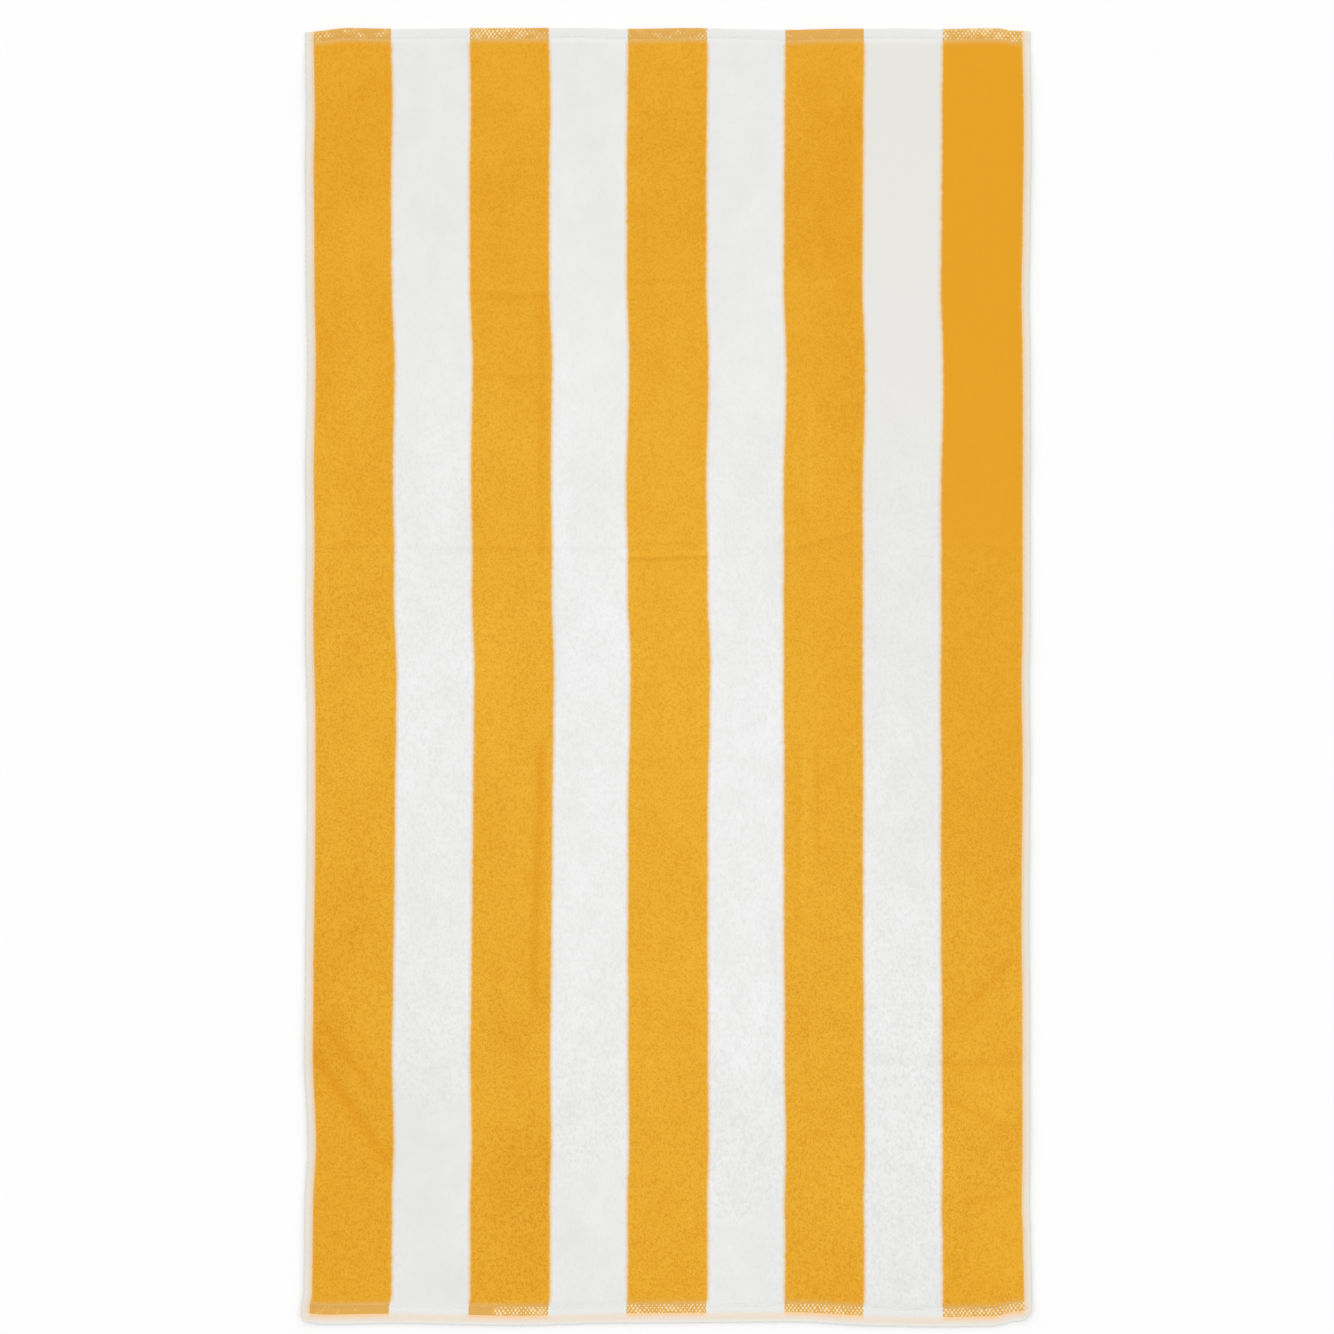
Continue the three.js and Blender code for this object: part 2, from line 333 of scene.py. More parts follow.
def place(across, along):
    """Where a point of the flat cloth lies, with the edges' stray taken up across it."""
    x, y = softened(across, along)
    to_right = across / TOWEL_WIDTH + 0.5
    to_top = along / TOWEL_LENGTH + 0.5
    x = x - along_table(LEFT_EDGE, along, "out") * (1 - to_right)
    x = x + along_table(RIGHT_EDGE, along, "out") * to_right
    y = y - along_table(BOTTOM_EDGE, across, "out") * (1 - to_top)
    y = y + along_table(TOP_EDGE, across, "out") * to_top
    return x, y


def along_folds(across, along, column):
    """The sum of a column of the folds at these places, each fading away from its line."""
    total = np.zeros(np.broadcast(across, along).shape)
    for fold in FOLDS:
        run = np.subtract(fold.end, fold.start)
        length = math.hypot(*run)
        run = run / length
        on_line = (across - fold.start[0]) * run[0] + (along - fold.start[1]) * run[1]
        off_line = (across - fold.start[0]) * run[1] - (along - fold.start[1]) * run[0]
        ends = eased(0.5 + on_line / FOLD_FADE) * eased(0.5 + (length - on_line) / FOLD_FADE)
        total = total + getattr(fold, column) * ends * np.exp(-((off_line / fold.reach) ** 2))
    return total


def swell_height(across, along):
    """The broad swells' lift at these places."""
    height = 0
    for swell in SWELLS:
        turns = across / swell["across"] + along / swell["along"]
        height = height + swell["lift"] * np.sin(2 * np.pi * turns + swell["phase"])
    return height


def curl(across, along):
    """How much the sides and the foot stand up at their free edge, here more, there less."""
    to_side = TOWEL_WIDTH / 2 - np.abs(across)
    to_foot = TOWEL_LENGTH / 2 + along
    from_head = eased((TOWEL_LENGTH / 2 - along) / CURL_STARTS)
    side_way = 1 + 0.2 * np.sin(along / 47 + np.sign(across)) + 0.15 * np.sin(along / 19)
    foot_way = 1 + 0.3 * np.sin(across / 41 + 2) + 0.2 * np.sin(across / 17)
    side = CURL["side"] * side_way * eased(1 - to_side / CURL_REACH) * from_head
    foot = CURL["foot"] * foot_way * eased(1 - to_foot / CURL_REACH)
    return np.maximum(side, foot)


print("folds:", len(FOLDS), "swells:", len(SWELLS))

# %% [markdown]
# ## The stripes
#
# Nine stripes run the length of the towel, five yellow and four white. Each is about 98 mm
# wide, but a loom never makes them all alike, and once the towel has been washed they wander
# a little as they run. The widths are a table of nine rows, and the wander is read at the
# left, the middle and the right of the cloth and shared out between them.

# %% Stripe widths and wander
STRIPES = [
    {"yarn": "yellow", "width": 97.8},
    {"yarn": "white", "width": 97.8},
    {"yarn": "yellow", "width": 98.2},
    {"yarn": "white", "width": 96.5},
    {"yarn": "yellow", "width": 98.3},
    {"yarn": "white", "width": 96.2},
    {"yarn": "yellow", "width": 97.4},
    {"yarn": "white", "width": 97.9},
    {"yarn": "yellow", "width": 100.2},
]
WANDER = [
    {"at": -780, "left": 0.0, "middle": -0.1, "right": -0.1},
    {"at": -680, "left": -0.1, "middle": 0.5, "right": 1.2},
    {"at": -580, "left": -1.2, "middle": 0.2, "right": 1.3},
    {"at": -480, "left": 0.2, "middle": 1.3, "right": 0.9},
    {"at": -330, "left": 1.2, "middle": 0.8, "right": 0.6},
    {"at": -140, "left": 0.9, "middle": -0.6, "right": -0.8},
    {"at": -60, "left": 2.1, "middle": 1.7, "right": -0.8},
    {"at": 15, "left": 4.1, "middle": 3.7, "right": -0.1},
    {"at": 110, "left": 1.3, "middle": 0.0, "right": -0.8},
    {"at": 220, "left": 0.3, "middle": -1.7, "right": -1.1},
    {"at": 370, "left": 0.2, "middle": 0.3, "right": 1.6},
    {"at": 520, "left": -2.1, "middle": -1.3, "right": -0.6},
    {"at": 700, "left": -1.6, "middle": -2.0, "right": -1.2},
    {"at": 780, "left": -1.5, "middle": 0.0, "right": 1.0},
]
FIRST_EDGE = LEFT_HEM - TOWEL_WIDTH / 2
STRIPE_EDGES = FIRST_EDGE + np.cumsum([0] + [row["width"] for row in STRIPES])


def stripe_line(number, along):
    """Where the line at the left of stripe number runs, in the flat cloth."""
    straight = STRIPE_EDGES[number]
    left, middle, right = (along_table(WANDER, along, c) for c in ("left", "middle", "right"))
    if number in (0, len(STRIPES)):
        return straight + 0 * along
    if straight < -100:
        return straight + left
    return straight + (middle if straight < 100 else right)


print("stripe lines, mm:", [round(float(v), 1) for v in STRIPE_EDGES])

# %% [markdown]
# ## Making meshes from arrays
#
# Pile is a great many small, nearly equal things. Numpy works on whole grids of points at
# once, so each mesh is worked out as arrays and handed to Blender in one go. Every mesh is
# closed: a grid of cloth on top, a wall round its rim, and a plain underside.
#
# Each mesh also gets a map called OFBake, the flat layout that its finish can be painted on.
# A stripe is sixteen times as long as it is wide, so its map is cut in four lengths laid side
# by side, which uses the square well.

# %% Mesh helpers
SEEDS = {"hems": 300, "tufts": 400, "stitches": 501, "patches": 600, "lines": 700}


def soft_noise(random, shape, along, across):
    """Random heights with a spread of 1, blurred over so many grid steps each way."""
    wave = np.fft.fft2(random.standard_normal(shape))
    fade_along = np.exp(-2 * (np.pi * along * np.fft.fftfreq(shape[0])) ** 2)
    fade_across = np.exp(-2 * (np.pi * across * np.fft.fftfreq(shape[1])) ** 2)
    field = np.fft.ifft2(wave * np.outer(fade_along, fade_across)).real
    return field / field.std()


def grid_faces(index):
    """The four-sided faces of a grid of vertex numbers, seen from above."""
    corners = (index[:-1, :-1], index[:-1, 1:], index[1:, 1:], index[1:, :-1])
    return np.stack([c.ravel() for c in corners], axis=1)


def rim_of(index):
    """The vertex numbers round a grid, anticlockwise from its first corner."""
    return np.concatenate([index[0, :-1], index[:-1, -1], index[-1, :0:-1], index[:0:-1, 0]])


def lid_faces(rim, rows, columns, up):
    """Faces that fill a flat rim: a long strip for each row, and a fan at each end."""
    bottom = rim[:columns]
    right = rim[columns - 1 : columns + rows - 1]
    top = rim[columns + rows - 2 : 2 * columns + rows - 2][::-1]
    left = np.concatenate([rim[:1], rim[2 * columns + rows - 3 :][::-1]])
    strips = np.stack([left[1:-2], right[1:-2], right[2:-1], left[2:-1]], axis=1)
    fans = [(left[1], a, b) for a, b in zip(bottom[:-1], bottom[1:])]
    fans += [(left[1], right[0], right[1])]
    fans += [(left[-2], b, a) for a, b in zip(top[:-1], top[1:])]
    fans += [(left[-2], right[-2], right[-1])]
    fans = np.array(fans)
    return (strips, fans) if up else (strips[:, ::-1], fans[:, ::-1])


def object_from(name, points, groups, values):
    """A smooth object in metres. Each group is an array of faces and the map of their corners."""
    faces = [face for group, _ in groups for face in group.tolist()]
    mesh = bpy.data.meshes.new(name)
    mesh.from_pydata((points * MM).tolist(), [], faces)
    layout = np.concatenate([flat.reshape(-1, 2) for _, flat in groups])
    mesh.uv_layers.new(name="OFBake").data.foreach_set("uv", layout.ravel())
    for key, numbers in values.items():
        mesh.attributes.new(key, "FLOAT", "POINT").data.foreach_set("value", np.ravel(numbers))
    mesh.shade_smooth()
    made = bpy.data.objects.new(name, mesh)
    scene.collection.objects.link(made)
    print(name, "triangles:", sum(len(face) - 2 for face in faces))
    return made


def walls(upper, lower):
    """Faces round the outside, between an upper rim and a lower one."""
    return np.stack([lower, np.roll(lower, -1), np.roll(upper, -1), upper], axis=1)


print("faces in a grid of 4 by 3 points:", len(grid_faces(np.arange(12).reshape(4, 3))))

# %% [markdown]
# ## The ground cloth and its hems
#
# The ground is a thin flat weave, hidden under the pile and bare only at the hems. There it
# is turned over twice and sewn, so it is thicker and its outer edge is a soft round fold. The
# head and foot hems are wider than the side ones, and the foot's fold has rolled out, so a
# plain cream strip shows below the speckled one.
#
# The mesh is a grid with close lines at the hems, where there is something to see: the round
# rim, the roll, and the row where the thread pulls the layers down. In the middle, under the
# pile, a few long faces are enough.

# %% Heights of the hems
FAR = 99
STITCH_IN = 2.0
# The share of the full height that the cloth has at so much inward from its free edge.
RIM = {"inward": (0, 0.3, 1.0, 2.2, 3.4), "share": (0.72, 0.85, 0.94, 0.985, 1)}
ROLL_CREST = 0.3
ROLL_ENDS = 6
ROLL_CREASE = 0.3
CREASE_REACH = 0.7
STITCH_PULL = 0.1
PULL_REACH = 0.55
SINKS_FROM, SINKS_OVER = 0.4, 2.4
PUCKER = 0.07
PUCKERED_FROM = 1.6


def edge_distances(across, along):
    """Distances to the left, right, bottom and top edges of the flat cloth."""
    half_width, half_length = TOWEL_WIDTH / 2, TOWEL_LENGTH / 2
    return half_width + across, half_width - across, half_length + along, half_length - along


def inside_pile(across, along):
    """How far a place is inside the line where the pile starts. It is under 0 in a hem."""
    left, right, bottom, top = edge_distances(across, along)
    sides = np.minimum(left - LEFT_HEM, right - RIGHT_HEM)
    return np.minimum(sides, np.minimum(bottom - BOTTOM_HEM, top - TOP_HEM))


def hem_height(across, along):
    """Height of the bare cloth: the round rim, the hem with its sewn row, then the ground."""
    left, right, bottom, top = edge_distances(across, along)
    height = HEM_TOP + curl(across, along)
    on_roll = (bottom < ROLL) * eased(np.minimum(left, right) / ROLL_ENDS)
    height = height + ROLL_CREST * np.sin(np.pi * np.clip(bottom / ROLL, 0, 1)) * on_roll
    height = height - ROLL_CREASE * np.exp(-(((bottom - ROLL) / CREASE_REACH) ** 2))
    off_ends = np.minimum(bottom - BOTTOM_HEM, top - TOP_HEM)
    rows = [
        np.where(off_ends > -STITCH_IN, left - LEFT_HEM, FAR),
        np.where(off_ends > -STITCH_IN, right - RIGHT_HEM, FAR),
        bottom - BOTTOM_HEM,
        top - TOP_HEM,
    ]
    for row in rows:
        height = height - STITCH_PULL * np.exp(-(((row + STITCH_IN) / PULL_REACH) ** 2))
    under = eased((inside_pile(across, along) - SINKS_FROM) / SINKS_OVER)
    height = height + (GROUND_TOP - height) * under
    to_rim = np.minimum(np.minimum(left, right), np.minimum(bottom, top))
    return height * np.interp(to_rim, RIM["inward"], RIM["share"])


foot_rim = hem_height(np.zeros(3), np.array([0, ROLL / 2, BOTTOM_HEM / 2]) - TOWEL_LENGTH / 2)
print("heights from the foot's free edge inward, mm:", foot_rim.round(2))

# %% [markdown]
# ## The ground's grid and its map
#
# A finish needs a flat map of every face. The hems are long and narrow, and laid out as one
# piece they would leave the map nearly empty. So each hem is cut into lengths and the lengths
# are stacked one above another, as a paper pattern is laid on cloth to save it. The back is
# one rectangle beside them, and the ground that the pile hides gets a corner the size of a
# stamp.

# %% Ground cloth tables
# How plainly the white weft shows as dots in the end hems, at places across.
DOTTED = [
    {"at": -440, "head": 0.5, "foot": 0.35},
    {"at": -350, "head": 0.5, "foot": 0.3},
    {"at": -240, "head": 0.9, "foot": 0.2},
    {"at": -190, "head": 0.6, "foot": 0.7},
    {"at": -150, "head": 0.55, "foot": 0.8},
    {"at": 0, "head": 0.5, "foot": 1.0},
    {"at": 200, "head": 0.35, "foot": 1.0},
    {"at": 440, "head": 0.7, "foot": 1.1},
]
# Grid lines at so much inward from each free edge, and beside the line where the pile starts.
SIDE_LINES = (0, 0.3, 1.0, 2.2, 3.4, 4.6, 5.8)
TOP_LINES = (0, 0.3, 1.0, 2.2, 3.4, 5.2, 7.4, 9.4)
BOTTOM_LINES = (0, 0.3, 1.0, 2.2, 3.4, 5.4, 8.4, 10.8, 11.8, 12.4, 13.0, 14.4, 16.6, 18.8)
STITCH_LINES = (-2.7, -2.0, -1.3, -0.5, 0, 3)
HEM_STEP = 2.5
# Rings below the free edge, each so far inward and so high, then the flat ones' distance in.
UNDER_RIM = ((0.15, 0.5), (0.8, 0.0), (9, 0.0))
FLAT_INSET = 32
# The map's layout, in millimetres of cloth: strips of hem, the back, and the hidden ground.
STRIP_LENGTH = 268
STRIP_WIDTH = 30
LAYOUT = 600
BACK_SCALE = 0.34
BACK_CORNER = (284, 0)
HIDDEN_CORNER = (284, 570)
HIDDEN_SCALE = 0.01
RIM_ON_MAP = 3
print("lines across a hem: side, head, foot:", len(SIDE_LINES), len(TOP_LINES), len(BOTTOM_LINES))

# %% Grid of the hems and its map


def hem_lines(size, low, low_hem, high, high_hem):
    """Grid lines from one edge to the other: close in both hems, even between them."""
    start = -size / 2 + np.array([*low, *(low_hem + line for line in STITCH_LINES)])
    end = size / 2 - np.array([*high, *(high_hem + line for line in STITCH_LINES)])[::-1]
    count = round((end[0] - start[-1]) / HEM_STEP)
    return np.concatenate([start, np.linspace(start[-1], end[0], count + 1)[1:-1], end])


def strip_map(faces, run, reach, first):
    """The hem faces' map: the hem cut into lengths, stacked one above another."""
    piece = np.floor(run[faces].mean(axis=1) / STRIP_LENGTH)[:, None]
    u = run[faces] - piece * STRIP_LENGTH + 2
    v = (first + piece) * STRIP_WIDTH + reach[faces]
    return np.stack([u, v], axis=2) / LAYOUT


def flat_map(faces, across, along, corner, scale):
    """The map of faces seen flat on, put with its own corner at a place in the layout."""
    u = corner[0] + (across[faces] + TOWEL_WIDTH / 2) * scale
    v = corner[1] + (along[faces] + TOWEL_LENGTH / 2) * scale
    return np.stack([u, v], axis=2) / LAYOUT


def stripe_side(across, along):
    """How far inside a yellow stripe a place is. It is under 0 in white and in the side hems."""
    lines = np.stack([stripe_line(n, along) for n in range(len(STRIPES) + 1)])
    nearest = np.abs(across - lines).min(axis=0)
    passed = (across > lines).sum(axis=0)
    return np.where(passed % 2 == 1, nearest, -nearest)


half_stripe = stripe_side(np.zeros(1), np.zeros(1))[0]
print("the cloth's middle is this far inside a yellow stripe, mm:", half_stripe.round(1))

# %% [markdown]
# ## Putting the ground together
#
# The cloth could be a single sheet with a Solidify modifier, but its rim has to be round on
# top and sharp below, where it meets the floor. So the closed form is built ring by ring: the
# upper face is a grid, under its rim comes a short wall, and then rings that run inward along
# the floor until long plain faces can close the back. Under the pile, where nothing shows,
# the grid gives way to long plain faces too.
#
# Four values are kept at the points for the finish to read: how far inside a yellow stripe a
# place is, how far past the side hems' line, how far from the foot, and how plainly the weft
# shows there as dots.

# %% Ground cloth mesh


def ground_grid():
    """The upper face: its places on the flat cloth, its heights, and the part under the pile."""
    xs = hem_lines(TOWEL_WIDTH, SIDE_LINES, LEFT_HEM, SIDE_LINES, RIGHT_HEM)
    ys = hem_lines(TOWEL_LENGTH, BOTTOM_LINES, BOTTOM_HEM, TOP_LINES, TOP_HEM)
    across, along = np.meshgrid(xs, ys)
    height = hem_height(across, along)
    puckers = soft_noise(np.random.default_rng(SEEDS["hems"]), height.shape, 1.0, 1.0)
    height = height + PUCKER * puckers * eased((height - PUCKERED_FROM) / 0.5)
    last = len(STITCH_LINES) - 1
    rows = slice(len(BOTTOM_LINES) + last, len(ys) - len(TOP_LINES) - last)
    columns = slice(len(SIDE_LINES) + last, len(xs) - len(SIDE_LINES) - last)
    return across, along, height, (rows, columns)


def ground_rings(grid_across, grid_along, height, block):
    """The upper face and every ring of points below it: flat places, points and rings."""
    index = np.arange(height.size).reshape(height.shape)
    rims = [rim_of(index)]
    flat = [np.stack([grid_across.ravel(), grid_along.ravel()], axis=1)]
    lift = [height.ravel()]
    half = np.array([TOWEL_WIDTH, TOWEL_LENGTH]) / 2
    for inset, z in UNDER_RIM:
        rims.append(sum(map(len, flat)) + np.arange(len(rims[0])))
        flat.append(flat[0][rims[0]] * (1 - inset / half))
        lift.append(np.full(len(rims[0]), z))
    across, along = np.concatenate(flat).T
    laid = np.stack(place(across, along), axis=1)
    for rim, z in ((rims[0], 0.0), (rim_of(index[block]), GROUND_TOP)):
        rims.append(len(laid) + np.arange(len(rim)))
        straight = flat[0][rim] * (1 - FLAT_INSET / half)
        laid = np.concatenate([laid, straight])
        across, along = np.concatenate([[across, along], straight.T], axis=1)
        lift.append(np.full(len(rim), z))
    points = np.concatenate([laid, np.concatenate(lift)[:, None]], axis=1)
    return across, along, points, rims


def hem_groups(index, block, rims, across, along):
    """The faces of the four hems with their map: each hem's top, and its two rings of rim."""
    rows, columns = index.shape
    row, column = np.divmod(np.arange((rows - 1) * (columns - 1)), columns - 1)
    foot, head = block[0].start, block[0].stop - 1
    left, right = block[1].start, block[1].stop - 1
    between = (row >= foot) & (row < head)
    on_top = {
        "left": between & (column < left),
        "right": between & (column >= right),
        "foot": row < foot,
        "head": row >= head,
    }
    corners = np.cumsum([0, columns - 1, rows - 1, columns - 1, rows - 1])
    on_rim = dict(zip(("foot", "right", "head", "left"), map(slice, corners, corners[1:])))
    cells = grid_faces(index)
    up_side, down_side = walls(*rims[:2]), walls(*rims[1:3])
    reaches = dict(zip(("left", "right", "foot", "head"), edge_distances(across, along)))
    groups, first = [], 0
    for side, chosen in on_top.items():
        is_end = side in ("foot", "head")
        run = across + TOWEL_WIDTH / 2 if is_end else along + TOWEL_LENGTH / 2
        reach = reaches[side] + RIM_ON_MAP
        groups.append((cells[chosen], strip_map(cells[chosen], run, reach, first)))
        for faces, low in ((up_side[on_rim[side]], 2), (down_side[on_rim[side]], 1)):
            reach = np.full(len(across), float(low))
            reach[faces[:, 2:]] = low + 1
            groups.append((faces, strip_map(faces, run, reach, first)))
        first += math.ceil(run.max() / STRIP_LENGTH)
    return groups


def make_ground():
    """The cloth itself: hems in full, and the hidden ground and the back as long faces."""
    grid_across, grid_along, height, block = ground_grid()
    across, along, points, rims = ground_rings(grid_across, grid_along, height, block)
    middle = (points.min(axis=0) + points.max(axis=0)) / 2 * (1, 1, 0)
    index = np.arange(height.size).reshape(height.shape)
    groups = hem_groups(index, block, rims, across, along)
    hidden = [walls(rims[-1], rim_of(index[block]))]
    hidden += lid_faces(rims[-1], *index[block].shape, up=True)
    for faces in hidden:
        groups.append((faces, flat_map(faces, across, along, HIDDEN_CORNER, HIDDEN_SCALE)))
    back = [walls(*pair) for pair in zip(rims[2:-2], rims[3:-1])]
    back += lid_faces(rims[-2], *index.shape, up=False)
    for faces in back:
        groups.append((faces, flat_map(faces, across, along, BACK_CORNER, BACK_SCALE)))

    left, right, foot, _ = edge_distances(across, along)
    dotted = {end: along_table(DOTTED, across, end) for end in ("head", "foot")}
    values = {
        "in_yellow": stripe_side(across, along),
        "past_side": np.maximum(LEFT_HEM - left, RIGHT_HEM - right),
        "from_foot": foot,
        "dotted": np.where(along < 0, dotted["foot"], dotted["head"]),
    }
    made = object_from("towel_cloth", points - middle, groups, values)
    count = len(made.data.polygons)
    is_back = np.arange(count) >= count - sum(map(len, back))
    made.data.polygons.foreach_set("material_index", is_back.astype(np.int32))
    return made, middle


towel_cloth, MIDDLE = make_ground()
print("the cloth's middle is moved to the frame's, mm:", -MIDDLE.round(2))

# %% [markdown]
# ## The pile
#
# Velour is terry whose loops have been shorn, so its face is a close stand of cut tufts, a
# couple of millimetres high. It isn't level: tufts clump, and they stand in rows along the
# warp. Each stripe is a solid slab of pile, sunk a little into the ground so that nothing
# hangs in the air, with a top of some forty thousand faces that rise and fall with the
# tufts. Each stripe passes its line by half a millimetre, as real tufts lean into each other,
# and where a stripe meets a hem it falls away over six millimetres.
#
# Handling leaves marks too: patches where the pile was brushed up look lighter, and where it
# was brushed down or pressed flat darker and smoother. On top of these a broad pool of light is
# painted into the pile's colour, lighter about the middle of the cloth and darker toward its
# head and foot, and the folds' shade is painted along them. The tables note that down from
# place to place, as values from 0 to 1.

# %% Pile tables
TUFT = 2.0
SUNK = 1.0
PILE_FOOT = HEM_TOP - 0.1
LOOSE_OVER = 3
END_LOOSE_OVER = 4
BESIDE_HEM = (0, 0.8, 1.8, 3.0)
BESIDE_STRIPE = (-0.5, 0, 0.9, 2.0)
SHOULDER = {"inward": (-0.5, 0, 0.9, 2.0), "drop": (1.1, 0.25, 0.08, 0)}
JAGGED = 0.22
# The heights of each yarn's tufts, clumps and rows, the length of a tuft along the warp in
# steps of the grid, and the share of the cloth's folds that its pile follows.
TUFTS = {
    "yellow": {"tuft": 0.10, "clump": 0.07, "row": 0.02, "length": 0.35, "folds": 1.0},
    "white": {"tuft": 0.06, "clump": 0.05, "row": 0.04, "length": 0.8, "folds": 0.5},
}
# How much rougher each yarn's grain is toward the head, toward the foot, and in a patch for
# each whole step that its pile stands higher.
ROUGHER = {
    "yellow": {"head": 0.0, "foot": 0.0, "patch": -3},
    "white": {"head": -0.58, "foot": 0.3, "patch": 5},
}
HEAD_FROM, FOOT_FROM, ENDS_OVER = 200, -300, 250
# A broad pool of light painted into the pile's colour, from 0 to 1, lighter about the middle
# and darker toward the head and the foot, and how rough the grain is, at three places across.
PAINTED_FALLOFF = [
    {"at": -803, "left": 0.44, "middle": 0.52, "right": 0.50},
    {"at": -600, "left": 0.46, "middle": 0.58, "right": 0.57},
    {"at": -350, "left": 0.52, "middle": 0.64, "right": 0.57},
    {"at": 0, "left": 0.62, "middle": 0.65, "right": 0.42},
    {"at": 250, "left": 0.54, "middle": 0.58, "right": 0.38},
    {"at": 600, "left": 0.36, "middle": 0.41, "right": 0.30},
]
GRAIN = [
    {"at": -700, "left": 1.05, "middle": 1.0, "right": 1.1},
    {"at": -300, "left": 1.02, "middle": 0.8, "right": 1.05},
    {"at": 0, "left": 1.05, "middle": 0.8, "right": 0.9},
    {"at": 250, "left": 0.9, "middle": 0.75, "right": 0.8},
    {"at": 600, "left": 0.75, "middle": 0.75, "right": 0.6},
]
# Patches left by hands, where the pile of a stripe lies darker, or stands lighter. Here the
# stripes are numbered from 1, at the left.
Patch = namedtuple("Patch", "stripe at size stand")
PATCHES = [
    Patch(1, at=(-395, 655), size=(95, 120), stand=-0.05),
    Patch(1, at=(-420, 395), size=(50, 90), stand=-0.06),
    Patch(1, at=(-370, 560), size=(40, 60), stand=0.05),
    Patch(1, at=(-400, 90), size=(70, 60), stand=-0.04),
    Patch(1, at=(-375, -60), size=(50, 120), stand=0.05),
    Patch(1, at=(-410, -330), size=(60, 130), stand=-0.05),
    Patch(1, at=(-425, -460), size=(45, 80), stand=-0.08),
    Patch(2, at=(-290, -660), size=(110, 240), stand=-0.15),
    Patch(3, at=(-195, 740), size=(80, 70), stand=0.06),
    Patch(3, at=(-200, 600), size=(60, 80), stand=-0.04),
    Patch(3, at=(-215, 30), size=(50, 300), stand=0.04),
    Patch(3, at=(-190, -420), size=(80, 70), stand=-0.07),
    Patch(3, at=(-225, -560), size=(40, 80), stand=0.04),
    Patch(3, at=(-180, -650), size=(80, 190), stand=-0.08),
    Patch(4, at=(-100, -700), size=(110, 200), stand=-0.12),
    Patch(5, at=(0, 620), size=(100, 190), stand=-0.05),
    Patch(5, at=(-25, 420), size=(50, 120), stand=-0.04),
    Patch(5, at=(20, 60), size=(50, 110), stand=0.04),
    Patch(5, at=(0, -260), size=(90, 140), stand=-0.03),
    Patch(6, at=(100, -730), size=(110, 130), stand=-0.12),
    Patch(7, at=(195, 620), size=(95, 200), stand=-0.09),
    Patch(7, at=(215, 400), size=(60, 180), stand=-0.06),
    Patch(7, at=(190, -60), size=(60, 130), stand=0.04),
    Patch(7, at=(180, -420), size=(70, 90), stand=-0.06),
    Patch(7, at=(210, -640), size=(60, 120), stand=0.03),
    Patch(8, at=(290, -380), size=(90, 260), stand=0.03),
    Patch(9, at=(400, -180), size=(80, 120), stand=-0.04),
    Patch(9, at=(395, -480), size=(80, 160), stand=0.06),
    Patch(9, at=(415, -690), size=(60, 130), stand=0.08),
]
PATCH_EDGE = 42
RAGGED = {"across": 9, "along": 14}
# Stripes 8 and 9 have been pressed smooth toward the head.
PRESSED = {
    8: [{"at": 140, "share": 0.0}, {"at": 440, "share": 0.6}, {"at": 740, "share": 1.0}],
    9: [
        {"at": -450, "share": 0.0},
        {"at": -220, "share": 0.06},
        {"at": 120, "share": 0.2},
        {"at": 200, "share": 0.85},
        {"at": 420, "share": 1.0},
    ],
}
PRESSED_FLATTER = 0.75
# How far in from its edges and ends the finish of a stripe needs to know where it is.
SEEN_IN = {"edge": 9, "end": 12}
MAP_LENGTHS = 4
MAP_MARGIN = 2
TUCKED_AT, TUCKED_SCALES = (0.01, 0.985), (9000, 200000)
print("patches:", len(PATCHES), "pressed stripes:", len(PRESSED))

# %% Where the pile stands and how


def spaced(start, end, low, high):
    """Places from start to end: low and high apart from the ends, a tuft apart between."""
    first, last = start + np.array(low), end - np.array(high)[::-1]
    count = round(float(np.mean(last[0] - first[-1])) / TUFT)
    shares = np.arange(1, count) / count
    return np.concatenate([first, first[-1] + shares * (last[0] - first[-1]), last])


def shared(table, across, along):
    """A table's left, middle and right columns, shared out over the width of the cloth."""
    left, middle, right = (along_table(table, along, c) for c in ("left", "middle", "right"))
    to_right = across / (TOWEL_WIDTH / 2)
    side = np.where(to_right < 0, left, right)
    return middle + (side - middle) * eased(np.abs(to_right) / 0.8)


def patchy(number, across, along):
    """How much more the pile of a stripe stands in its patches, which have ragged edges."""
    random = np.random.default_rng(SEEDS["patches"] + number)
    across = across + RAGGED["across"] * soft_noise(random, across.shape, 9, 6)
    along = along + RAGGED["along"] * soft_noise(random, across.shape, 9, 6)
    total = np.zeros(across.shape)
    for patch in PATCHES:
        if patch.stripe == number + 1:
            inside_x = patch.size[0] / 2 - np.abs(across - patch.at[0])
            inside_y = patch.size[1] / 2 - np.abs(along - patch.at[1])
            share = eased(0.5 + inside_x / PATCH_EDGE) * eased(0.5 + inside_y / PATCH_EDGE)
            total = total + patch.stand * share
    return total


def jagged_line(number, ys):
    """The line between two stripes, tuft by tuft. Both stripes use the same one."""
    random = np.random.default_rng(SEEDS["lines"] + number)
    wobble = soft_noise(random, (len(ys), 1), 0.6, 0)[:, 0]
    return stripe_line(number, ys) + JAGGED * wobble


